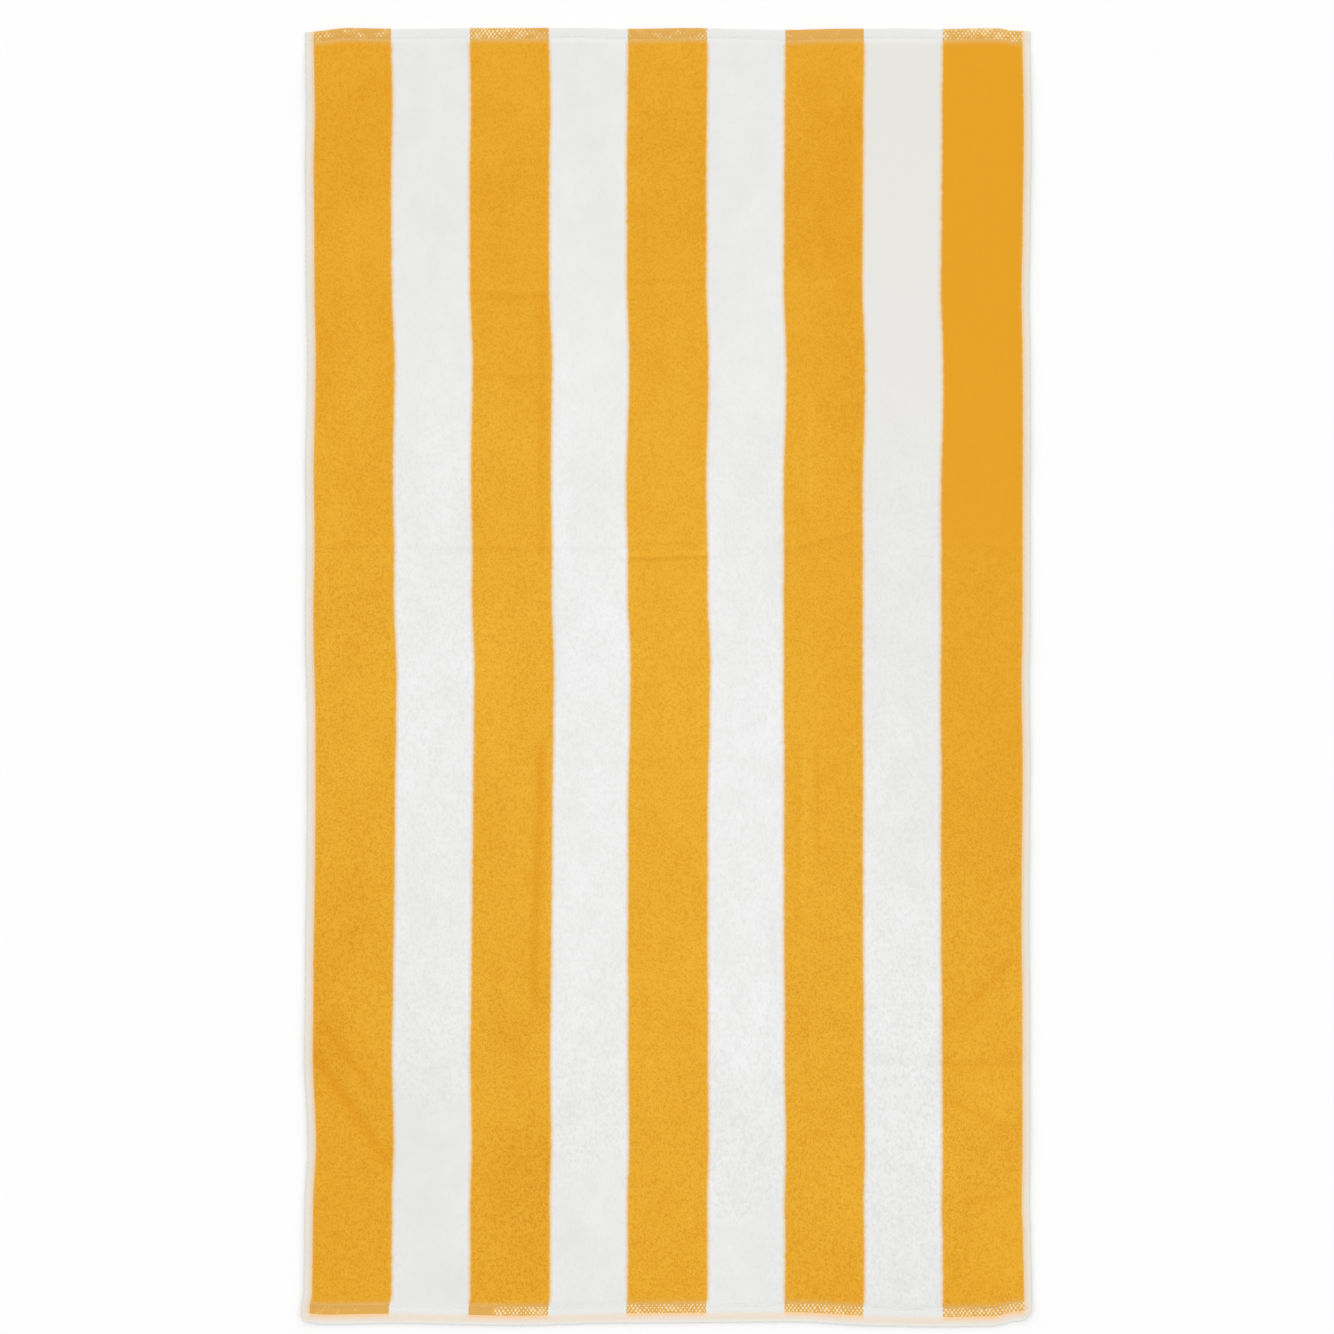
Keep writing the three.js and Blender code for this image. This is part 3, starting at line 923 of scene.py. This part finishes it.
def nap_painted_light_and_grain(number, across, along):
    """A stripe's tone from its patches, painted fold shade and a painted pool of light; its
    grain; how pressed it is.
    """
    rough = ROUGHER[STRIPES[number]["yarn"]]
    pressed = np.zeros(along.shape)
    if number + 1 in PRESSED:
        pressed = along_table(PRESSED[number + 1], along, "share")
    patches = patchy(number, across, along)
    # the pile's lightness: a painted pool of light, handling patches, and shade painted along the
    # folds
    stand = shared(PAINTED_FALLOFF, across, along) + patches + along_folds(across, along, "stand")
    to_head = eased((along - HEAD_FROM) / ENDS_OVER)
    to_foot = eased((FOOT_FROM - along) / ENDS_OVER)
    grain = shared(GRAIN, across, along) * (1 - PRESSED_FLATTER * pressed)
    grain = grain * (1 + rough["head"] * to_head + rough["foot"] * to_foot)
    return stand, grain * (1 + rough["patch"] * patches), pressed


middle_falloff = shared(PAINTED_FALLOFF, np.zeros(3), np.array([-700, 0, 700]))
print("stand at the foot, the middle and the head:", middle_falloff.round(2))

# %% [markdown]
# ## Nine slabs of pile
#
# Real tufts number in the millions. Instances of a tuft would be far too many faces, so each
# stripe's top is one grid with a point every two millimetres, raised by three layers of soft
# random noise: single tufts, clumps of them, and the rows that the warp sets them in. The
# points are also shifted sideways a little, so that no straight line of the grid shows.

# %% Pile meshes


def stripe_grid(number):
    """A stripe's grid on the flat cloth, and its distances to its two lines and to the ends."""
    ys = spaced(BOTTOM_HEM - TOWEL_LENGTH / 2, TOWEL_LENGTH / 2 - TOP_HEM, BESIDE_HEM, BESIDE_HEM)
    line, next_line = jagged_line(number, ys), jagged_line(number + 1, ys)
    width = STRIPES[number]["width"]
    low = BESIDE_HEM if number == 0 else BESIDE_STRIPE
    high = BESIDE_HEM if number == len(STRIPES) - 1 else BESIDE_STRIPE
    xs = spaced(0.0, width, low, high)
    share = np.clip(xs / width, 0, 1)
    across = line[:, None] + xs + (next_line - line - width)[:, None] * share
    along = np.repeat(ys[:, None], len(xs), axis=1)
    to_end = np.minimum(along - ys[0], ys[-1] - along)
    return across, along, across - line[:, None], next_line[:, None] - across, to_end


def pile_top(number, across, along, grain, to_stripe, to_hem, to_end):
    """The top of a stripe: where its tufts lean to on the flat cloth, and their heights."""
    level = TUFTS[STRIPES[number]["yarn"]]
    random = np.random.default_rng(SEEDS["tufts"] + number)
    bumps = level["tuft"] * soft_noise(random, across.shape, level["length"], 0.35)
    bumps = bumps + level["clump"] * soft_noise(random, across.shape, 2.5, 1.6)
    bumps = bumps + level["row"] * soft_noise(random, across.shape, 9, 0.4)
    folded = level["folds"] * along_folds(across, along, "lift") + swell_height(across, along)
    full = PILE_TOP - PILE_FOOT + folded + bumps * grain
    height = PILE_FOOT + eased(to_hem / PILE_SLOPE) * full
    height = height - np.interp(to_stripe, SHOULDER["inward"], SHOULDER["drop"])
    loose = JAGGED * eased(np.minimum(to_hem, to_stripe) / LOOSE_OVER)
    at_end = JAGGED * eased(1 - to_end / END_LOOSE_OVER)
    end_wobble = soft_noise(random, (1, across.shape[1]), 0, 0.6) * at_end
    across = across + loose * soft_noise(random, across.shape, 0.6, 0.5)
    along = along + loose * soft_noise(random, across.shape, 0.5, 0.6) + end_wobble
    return across, along, height


def pile_points(across, along, height):
    """The top as it lies, then a flat base under its rim, with straight ends."""
    x, y = place(across, along)
    top = np.stack([x, y, height + curl(across, along)], axis=2).reshape(-1, 3)
    base = top[rim_of(np.arange(across.size).reshape(across.shape))] * (1, 1, 0) + (0, 0, SUNK)
    rows, columns = across.shape
    for start in (0, columns + rows - 2):
        ends = base[start], base[start + columns - 1]
        base[start : start + columns] = np.linspace(*ends, columns)
    return np.concatenate([top, base]) - MIDDLE


def pile_groups(index, own, run, length, width):
    """A stripe's faces with their map: the top in lengths side by side, the rest in a corner."""
    part_length, part_width = length / MAP_LENGTHS, width + 2 * MAP_MARGIN
    square = max(MAP_LENGTHS * part_width, part_length * 1.04)
    faces = grid_faces(index)
    part = np.floor(run[faces].mean(axis=1) / part_length)
    part = np.clip(part, 0, MAP_LENGTHS - 1)[:, None]
    u = part * part_width + own[faces]
    v = run[faces] - part * part_length + MAP_MARGIN
    groups = [(faces, np.stack([u, v], axis=2) / square)]
    upper = rim_of(index)
    lower = index.size + np.arange(len(upper))
    for faces in (walls(upper, lower), *lid_faces(lower, *index.shape, up=False)):
        tucked = np.stack([own[faces], run[faces]], axis=2) / TUCKED_SCALES + TUCKED_AT
        groups.append((faces, tucked))
    return groups


def pile_stripe(number):
    """One stripe of pile: its bumpy top, the walls round it and a plain underside."""
    stripe = STRIPES[number]
    is_first, is_last = number == 0, number == len(STRIPES) - 1
    across, along, left, right, to_end = stripe_grid(number)
    foot, head = along[0, 0], along[-1, 0]
    to_stripe = np.minimum(left + FAR * is_first, right + FAR * is_last)
    to_side = np.minimum(left + FAR * (not is_first), right + FAR * (not is_last))
    to_hem = np.minimum(to_side, to_end)
    stand, grain, pressed = nap_painted_light_and_grain(number, across, along)
    across, along, height = pile_top(number, across, along, grain, to_stripe, to_hem, to_end)
    index = np.arange(across.size).reshape(across.shape)

    def twice(values):
        """A grid's values for the top, and again for the rim of the base."""
        return np.concatenate([values.ravel(), values.ravel()[rim_of(index)]])

    own, run = twice(left) + MAP_MARGIN, twice(along) - foot
    groups = pile_groups(index, own, run, head - foot, stripe["width"])
    values = {
        "off_edge": twice(np.clip(np.minimum(left, right), 0, SEEN_IN["edge"])),
        "off_end": twice(np.clip(to_end, 0, SEEN_IN["end"])),
        "stand": twice(stand),
        "grain": twice(grain),
        "pressed": twice(pressed),
    }
    points = pile_points(across, along, height)
    return object_from(f"pile_{stripe['yarn']}_{number + 1}", points, groups, values)


piles = [pile_stripe(number) for number in range(len(STRIPES))]

# %% [markdown]
# ## The stitches
#
# Each hem is held by a row of lockstitch, three stitches to the centimetre. On top of the
# cloth a stitch shows as a short slack length of thread that dives into the cloth at both
# ends. One small capsule is made once, and a row of them, each a little different, is joined
# into one mesh per hem.

# %% Stitch rows
STITCH = 3.3
THREAD = 0.5
SHOWING = 2.7
SLANT, UNEVEN = 0.09, 0.05
# A stitch stands this far over the cloth at its middle, and dives by so much at its ends.
PROUD, DIVE = 0.16, 0.34
SIDES, RINGS = 6, 5
# How far short of the cloth's edge, or of the row it meets, a row of stitches ends.
ROW_ENDS = {"end": 3, "side": 2}


def stitch_shape():
    """A capsule along X of length 1 and radius 1, bowed up in the middle: points and faces."""
    turns = np.arange(SIDES) / SIDES * 2 * np.pi
    ends = np.linspace(-1, 1, RINGS)
    radius = np.sqrt(1 - (ends * 0.92) ** 2) ** 0.7
    x = np.repeat(ends / 2, SIDES)
    y = (radius[:, None] * np.cos(turns)).ravel()
    z = (radius[:, None] * np.sin(turns)).ravel()
    points = np.concatenate([np.stack([x, y, z], axis=1), [(-0.52, 0, 0), (0.52, 0, 0)]])
    faces = []
    for ring in range(RINGS - 1):
        for side in range(SIDES):
            a, b = ring * SIDES + side, ring * SIDES + (side + 1) % SIDES
            faces.append((a, a + SIDES, b + SIDES, b))
    last = (RINGS - 1) * SIDES
    caps = [(len(points) - 2, side, (side + 1) % SIDES) for side in range(SIDES)]
    caps += [(len(points) - 1, last + (side + 1) % SIDES, last + side) for side in range(SIDES)]
    return points, np.array(faces), np.array(caps)


def stitch_row(name, start, end, seed):
    """A row of stitches on the hem from one place on the flat cloth to another."""
    random = np.random.default_rng(seed)
    start, end = np.array(start, float), np.array(end, float)
    length = math.hypot(*(end - start))
    count = int(length // STITCH)
    shares = (np.arange(count) + 0.5) / count
    middles = start + (end - start) * shares[:, None]
    heading = (end - start) / length
    shape, faces, caps = stitch_shape()
    turn = random.normal(SLANT, UNEVEN, count)
    size = random.normal(1, UNEVEN, (count, 1))
    local_x = shape[:, 0] * SHOWING * size
    local_y = shape[:, 1] * THREAD / 2
    bow = PROUD - DIVE * (2 * shape[:, 0]) ** 2
    swung_x = local_x * np.cos(turn)[:, None] - local_y * np.sin(turn)[:, None]
    swung_y = local_x * np.sin(turn)[:, None] + local_y * np.cos(turn)[:, None]
    across = middles[:, :1] + swung_x * heading[0] - swung_y * heading[1]
    along = middles[:, 1:] + swung_x * heading[1] + swung_y * heading[0]
    bed = hem_height(middles[:, :1], middles[:, 1:])
    lift = bed + bow + shape[:, 2] * THREAD / 2
    x, y = place(across, along)
    points = np.stack([x, y, lift], axis=2).reshape(-1, 3) - MIDDLE
    offsets = (np.arange(count) * len(shape))[:, None, None]
    groups = []
    for part in (faces, caps):
        every = (part + offsets).reshape(-1, part.shape[1])
        spread = np.stack([points[every][..., 0], points[every][..., 1]], axis=2) / 2000 + 0.5
        groups.append((every, spread))
    in_yellow = stripe_side(across.ravel(), along.ravel())
    return object_from(name, points, groups, {"in_yellow": in_yellow})


left_row = LEFT_HEM - STITCH_IN - TOWEL_WIDTH / 2
right_row = TOWEL_WIDTH / 2 - RIGHT_HEM + STITCH_IN
foot_row = BOTTOM_HEM - STITCH_IN - TOWEL_LENGTH / 2
head_row = TOWEL_LENGTH / 2 - TOP_HEM + STITCH_IN
last_stitch = TOWEL_WIDTH / 2 - ROW_ENDS["end"]
low_stitch, high_stitch = foot_row + ROW_ENDS["side"], head_row - ROW_ENDS["side"]
ROWS = {
    "left": ((left_row, low_stitch), (left_row, high_stitch)),
    "right": ((right_row, low_stitch), (right_row, high_stitch)),
    "foot": ((-last_stitch, foot_row), (last_stitch, foot_row)),
    "head": ((-last_stitch, head_row), (last_stitch, head_row)),
}
stitches = [
    stitch_row(f"stitches_{name}", *ends, SEEDS["stitches"] + number)
    for number, (name, ends) in enumerate(ROWS.items())
]

# %% [markdown]
# ## Writing finishes as sums
#
# A finish is a small tree of nodes. Written with Blender's own calls it hides what it means,
# so one class wraps a socket and lets Python's operators add the Math nodes: 1 - mask works
# as it reads. Any other node comes from one method, which takes its type, its settings and
# what its sockets get. Colours go through Mix nodes, as a Math node would turn them grey.

# %% Wires and finishes


class Wire:
    """One output of a node, which Python's operators can put into sums."""

    def __init__(self, finish, socket):
        self.finish = finish
        self.socket = socket

    def math(self, operation, other=0.0, swapped=False):
        values = (other, self) if swapped else (self, other)
        return self.finish.node("Math", {"operation": operation}, dict(enumerate(values)))

    def __add__(self, other):
        return self.math("ADD", other)

    def __sub__(self, other):
        return self.math("SUBTRACT", other)

    def __mul__(self, other):
        return self.math("MULTIPLY", other)

    def __truediv__(self, other):
        return self.math("DIVIDE", other)

    def __pow__(self, other):
        return self.math("POWER", other)

    def __rsub__(self, other):
        return self.math("SUBTRACT", other, swapped=True)

    __radd__ = __add__
    __rmul__ = __mul__

    def wave(self):
        return self.math("SINE")

    def step(self, low, high):
        """0 where this is at low, 1 where it is at high, and eased between."""
        settings = {"interpolation_type": "SMOOTHSTEP"}
        return self.finish.node("MapRange", settings, {0: self, 1: low, 2: high, 3: 0, 4: 1})


class Finish:
    """A material, and the nodes that make it."""

    def __init__(self, name):
        self.material = bpy.data.materials.new(name)
        self.material.use_nodes = True
        self.tree = self.material.node_tree
        self.tree.nodes.clear()

    def node(self, kind, settings=None, sockets=None, output=0):
        made = self.tree.nodes.new("ShaderNode" + kind)
        for key, value in (settings or {}).items():
            setattr(made, key, value)
        for key, value in (sockets or {}).items():
            if isinstance(value, Wire):
                self.tree.links.new(value.socket, made.inputs[key])
            else:
                made.inputs[key].default_value = value
        return Wire(self, made.outputs[output]) if made.outputs else None

    def place(self, x=1, y=1, z=1):
        """Where on the object this is, in metres, times these scales."""
        where = self.node("TexCoord", output="Object")
        return self.node("VectorMath", {"operation": "MULTIPLY"}, {0: where, 1: (x, y, z)})

    def value(self, name):
        return self.node("Attribute", {"attribute_name": name}, output="Fac")

    def noise(self, where, detail=2.0, rough=0.5):
        sockets = {"Vector": where, "Scale": 1.0, "Detail": detail, "Roughness": rough}
        return self.node("TexNoise", None, sockets)

    def cells(self, where):
        return self.node("TexVoronoi", None, {"Vector": where, "Scale": 1.0}, "Distance")

    def mix(self, share, first, second):
        settings = {"data_type": "RGBA", "clamp_factor": True}
        return self.node("Mix", settings, {0: share, 6: first, 7: second}, output=2)

    def cloth(self, colour, roughness, height, depth, sheen):
        """Finishes the material: a dull cotton surface with this colour and relief."""
        relief = {"Strength": 1.0, "Distance": depth, "Height": height}
        sockets = {
            "Base Color": colour,
            "Roughness": roughness,
            "Normal": self.node("Bump", None, relief),
            "Specular IOR Level": 0.15,
            "Sheen Weight": sheen,
            "Sheen Roughness": 0.5,
        }
        surface = self.node("BsdfPrincipled", None, sockets)
        self.node("OutputMaterial", None, {"Surface": surface})
        return self.material

# %% [markdown]
# ## The velour
#
# Cut pile is dull and deep. The shade between the tufts is painted into the colour: light that
# goes in between them comes out yellower, so the gaps in the yellow stripes are painted a deeper
# orange, and in the white ones hardly darker at all. The finish has a fine grain of tufts,
# clumps a few centimetres across that lean together, and the broad tone kept on the mesh:
# handling patches, shade painted along the folds and a painted pool of light. Close to a
# stripe's edge the two yarns mix, so the white warms and the yellow pales over the last few
# millimetres.

# %% Velour finish
# down and up are the ends of the pile's lightness, which holds handling patches, painted fold
# shade and a painted pool of light; the gap colour is shade painted between the tufts
PILE_COLOURS = {
    "yellow": {
        "down": yarn(231, 158, 26),
        "up": yarn(245, 189, 58),
        "pressed": yarn(231, 161, 31),
        "gap_shade": yarn(212, 134, 8),
        "mixed": yarn(232, 193, 124),
        "end": yarn(229, 184, 108),
    },
    "white": {
        "down": yarn(224, 224, 221),
        "up": yarn(249, 250, 250),
        "pressed": yarn(232, 229, 223),
        "gap_shade": yarn(217, 217, 214),
        "mixed": yarn(241, 203, 148),
        "end": yarn(236, 236, 233),
    },
}
# The tufts' sizes each way against the finest, how strongly the shade painted in their gaps
# shows, how far the other yarn reaches in at an edge and how sharply.
NAP = {
    "yellow": {"wide": 1.0, "stretch": 0.75, "gap_shade": 0.5, "fade": 2.6, "sharp": 2.0},
    "white": {"wide": 0.7, "stretch": 0.4, "gap_shade": 0.3, "fade": 4.6, "sharp": 1.0},
}
RELIEF = {"yellow": 0.6 * MM, "white": 0.4 * MM}
PRESSED_SHOWS = 0.85
END_FADE, END_SHARP = 9, 1.6


def velour(name):
    """The finish of one colour of pile."""
    colours, nap = PILE_COLOURS[name], NAP[name]
    finish = Finish(f"{name} velour")
    wide, stretch = nap["wide"], nap["stretch"]
    clumps = finish.noise(finish.place(30, 22, 30), 3.0, 0.6)
    sweeps = finish.noise(finish.place(11, 6, 11), 1.0)
    flecks = finish.noise(finish.place(430 * wide, 430 * stretch, 430), 2.0, 0.6)
    tufts = finish.cells(finish.place(620 * wide, 620 * stretch, 620))
    fibres = finish.noise(finish.place(1900, 1300, 1900), 2.0, 0.6)

    pressed = finish.value("pressed")
    grain = finish.value("grain")
    uneven = (clumps - 0.5) * 0.45 + (sweeps - 0.5) * 0.3
    # the pile's lightness holds handling patches, shade painted along the folds and a painted
    # pool of light
    stand = finish.value("stand") + uneven * (1 - pressed)
    colour = finish.mix(stand, colours["down"], colours["up"])
    colour = finish.mix(pressed * PRESSED_SHOWS, colour, colours["pressed"])
    # shade painted into the gaps between the tufts
    gap_shade_share = flecks.step(0.42, 0.68) * nap["gap_shade"] * grain
    colour = finish.mix(gap_shade_share, colour, colours["gap_shade"])
    near = (1 - finish.value("off_edge") / nap["fade"]).math("MAXIMUM", 0.0)
    colour = finish.mix(near ** nap["sharp"], colour, colours["mixed"])
    ended = (1 - finish.value("off_end") / END_FADE).math("MAXIMUM", 0.0)
    colour = finish.mix(ended ** END_SHARP, colour, colours["end"])
    height = ((1 - tufts) * 0.6 - flecks * 0.5 + fibres * 0.4) * grain
    return finish.cloth(colour, 0.86 + fibres * 0.12, height, RELIEF[name], 0.12)


PILE_FINISH = {name: velour(name) for name in PILE_COLOURS}
for stripe, pile in zip(STRIPES, piles):
    pile.data.materials.append(PILE_FINISH[stripe["yarn"]])
print("nodes in each velour:", [len(made.node_tree.nodes) for made in PILE_FINISH.values()])

# %% [markdown]
# ## The hems, the back and the thread
#
# A hem is the bare ground weave. Where the warp is yellow, the white weft shows through it as
# rows of staggered dots, so from a step away the hem looks tan. Where the warp is white it
# stays plain. The side hems and the rolled fold at the foot have no yellow in them, and they
# are a warm cream. Beside the pile the side hems turn peach: partly yellow lint, and partly
# yellow light thrown by the pile, which is painted into their colour. On the roll, under the
# yellow stripes, the same peach is the yellow and white yarns mixed at the fold.
#
# The back of the towel is the same cloth seen from below: uncut loops in the same stripes.
# Nothing of it shows as the towel lies, so it is finished plainly.

# %% Hem finish
WARP_TAN = yarn(226, 172, 84)
WEFT_DOT = yarn(250, 226, 176)
WHITE_WEAVE = yarn(234, 234, 232)
CREAM = yarn(233, 228, 216)
ROLL_CREAM = yarn(238, 224, 208)
ROLL_EDGE = yarn(240, 240, 233)
PEACH_TINT = yarn(248, 207, 158)
DOT_ACROSS, DOT_ALONG = 5.0 * MM, 6.7 * MM


def hem_weave():
    """The finish of the bare cloth."""
    finish = Finish("hem weave")
    parts = finish.node("SeparateXYZ", None, {0: finish.place()})
    x, y = (Wire(finish, parts.socket.node.outputs[axis]) for axis in "XY")
    wobble = finish.noise(finish.place(90, 90, 90), 0.0)
    across = ((x + wobble * 0.003) * (2 * math.pi / DOT_ACROSS)).wave()
    along = ((y + wobble * 0.003) * (2 * math.pi / DOT_ALONG)).wave()
    lattice = across * along
    patches = finish.noise(finish.place(70, 110, 70), 2.0)
    grain = finish.noise(finish.place(900, 900, 900), 2.0)
    fray = (grain - 0.5) * 1.5
    shown = (patches + finish.value("dotted") - 0.9).step(0.0, 0.3)
    fleck = finish.noise(finish.place(150, 120, 150), 0.0) - 0.5
    dots = (lattice + fleck * 1.2).step(0.0, 0.55) * shown
    yellow = finish.value("in_yellow") + fray
    ends = finish.mix(yellow.step(-0.9, 0.9), WHITE_WEAVE, finish.mix(dots, WARP_TAN, WEFT_DOT))
    past_side = finish.value("past_side")
    # beside the pile the side hems turn peach: partly yellow lint, partly yellow light from the
    # pile painted in
    beside = (1 - past_side / 5).math("MAXIMUM", 0.0)
    side = finish.mix(beside, CREAM, PEACH_TINT)
    colour = finish.mix((past_side + fray).step(-0.4, 0.6), ends, side)
    from_foot = finish.value("from_foot") + fray
    roll = finish.mix(from_foot.step(1.0, 6.0), ROLL_EDGE, ROLL_CREAM)
    under_dots = from_foot.step(ROLL - 7.0, ROLL - 0.5) * yellow.step(-3, 3)
    # on the roll under the yellow stripes the peach is yellow and white yarn mixed at the fold
    roll = finish.mix(under_dots, roll, PEACH_TINT)
    colour = finish.mix(from_foot.step(ROLL - 0.6, ROLL + 0.6), roll, colour)
    height = lattice * 0.35 + grain * 0.5
    return finish.cloth(colour, 0.84 + grain * 0.1, height, 0.0004, 0.08)


def looped_back():
    """The finish of the back: short uncut loops in the same stripes."""
    finish = Finish("looped back")
    x = finish.node("SeparateXYZ", None, {0: finish.place()}, output="X")
    grain = finish.noise(finish.place(400, 400, 400), 2.0)
    pitch = float(np.mean([row["width"] for row in STRIPES])) * MM
    yellow = ((x + grain * 0.001) * (math.pi / pitch) + math.pi / 2).wave().step(-0.03, 0.03)
    loops = finish.cells(finish.place(560, 380, 560))
    colour = finish.mix(yellow, PILE_COLOURS["white"]["down"], PILE_COLOURS["yellow"]["down"])
    colour = finish.mix(loops.step(0.4, 0.9) * 0.3, colour, PILE_COLOURS["yellow"]["mixed"])
    return finish.cloth(colour, 0.88 + grain * 0.1, 1 - loops, 0.001, 0.1)


def sewing_thread():
    """The finish of the thread: fine plies, with the yarns that it is sunk in showing through."""
    finish = Finish("sewing thread")
    twist = finish.noise(finish.place(2600, 2600, 2600), 1.0)
    over_white = finish.mix(twist, yarn(228, 226, 220), yarn(240, 238, 234))
    over_yellow = finish.mix(twist, yarn(226, 176, 96), yarn(234, 192, 126))
    colour = finish.mix(finish.value("in_yellow").step(-0.5, 0.5), over_white, over_yellow)
    return finish.cloth(colour, 0.6 + twist * 0.2, twist, 0.0002, 0.05)


towel_cloth.data.materials.append(hem_weave())
towel_cloth.data.materials.append(looped_back())
thread = sewing_thread()
for row in stitches:
    row.data.materials.append(thread)
print("finishes of the cloth:", [slot.name for slot in towel_cloth.data.materials])

# %% [markdown]
# ## The floor's finish
#
# The floor is painted, a hair under pure white so that the faint shadow at the edges still
# shows on it, and matt so that it mirrors nothing.

# %% Floor finish


def pale_floor():
    """A plain pale painted floor, with the faintest mottle."""
    finish = Finish("pale floor")
    mottle = finish.noise(finish.place(2, 2, 2), 2.0)
    colour = finish.mix(mottle, yarn(253, 253, 253), yarn(254, 254, 254))
    return finish.cloth(colour, 0.9 + mottle * 0.05, mottle, 0.0001, 0.0)


floor.data.materials.append(pale_floor())
print("floor finish:", floor.data.materials[0].name)

# %% [markdown]
# ## One body
#
# Every piece rides on the one body, so a model that moves the towel takes them all along. The
# measured part's own solid is hidden, and the cloth stands for it.

# %% Ride and replace
for piece in (towel_cloth, *piles):
    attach(piece, "root")
for piece in stitches:
    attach(piece, "root")
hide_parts("towel")
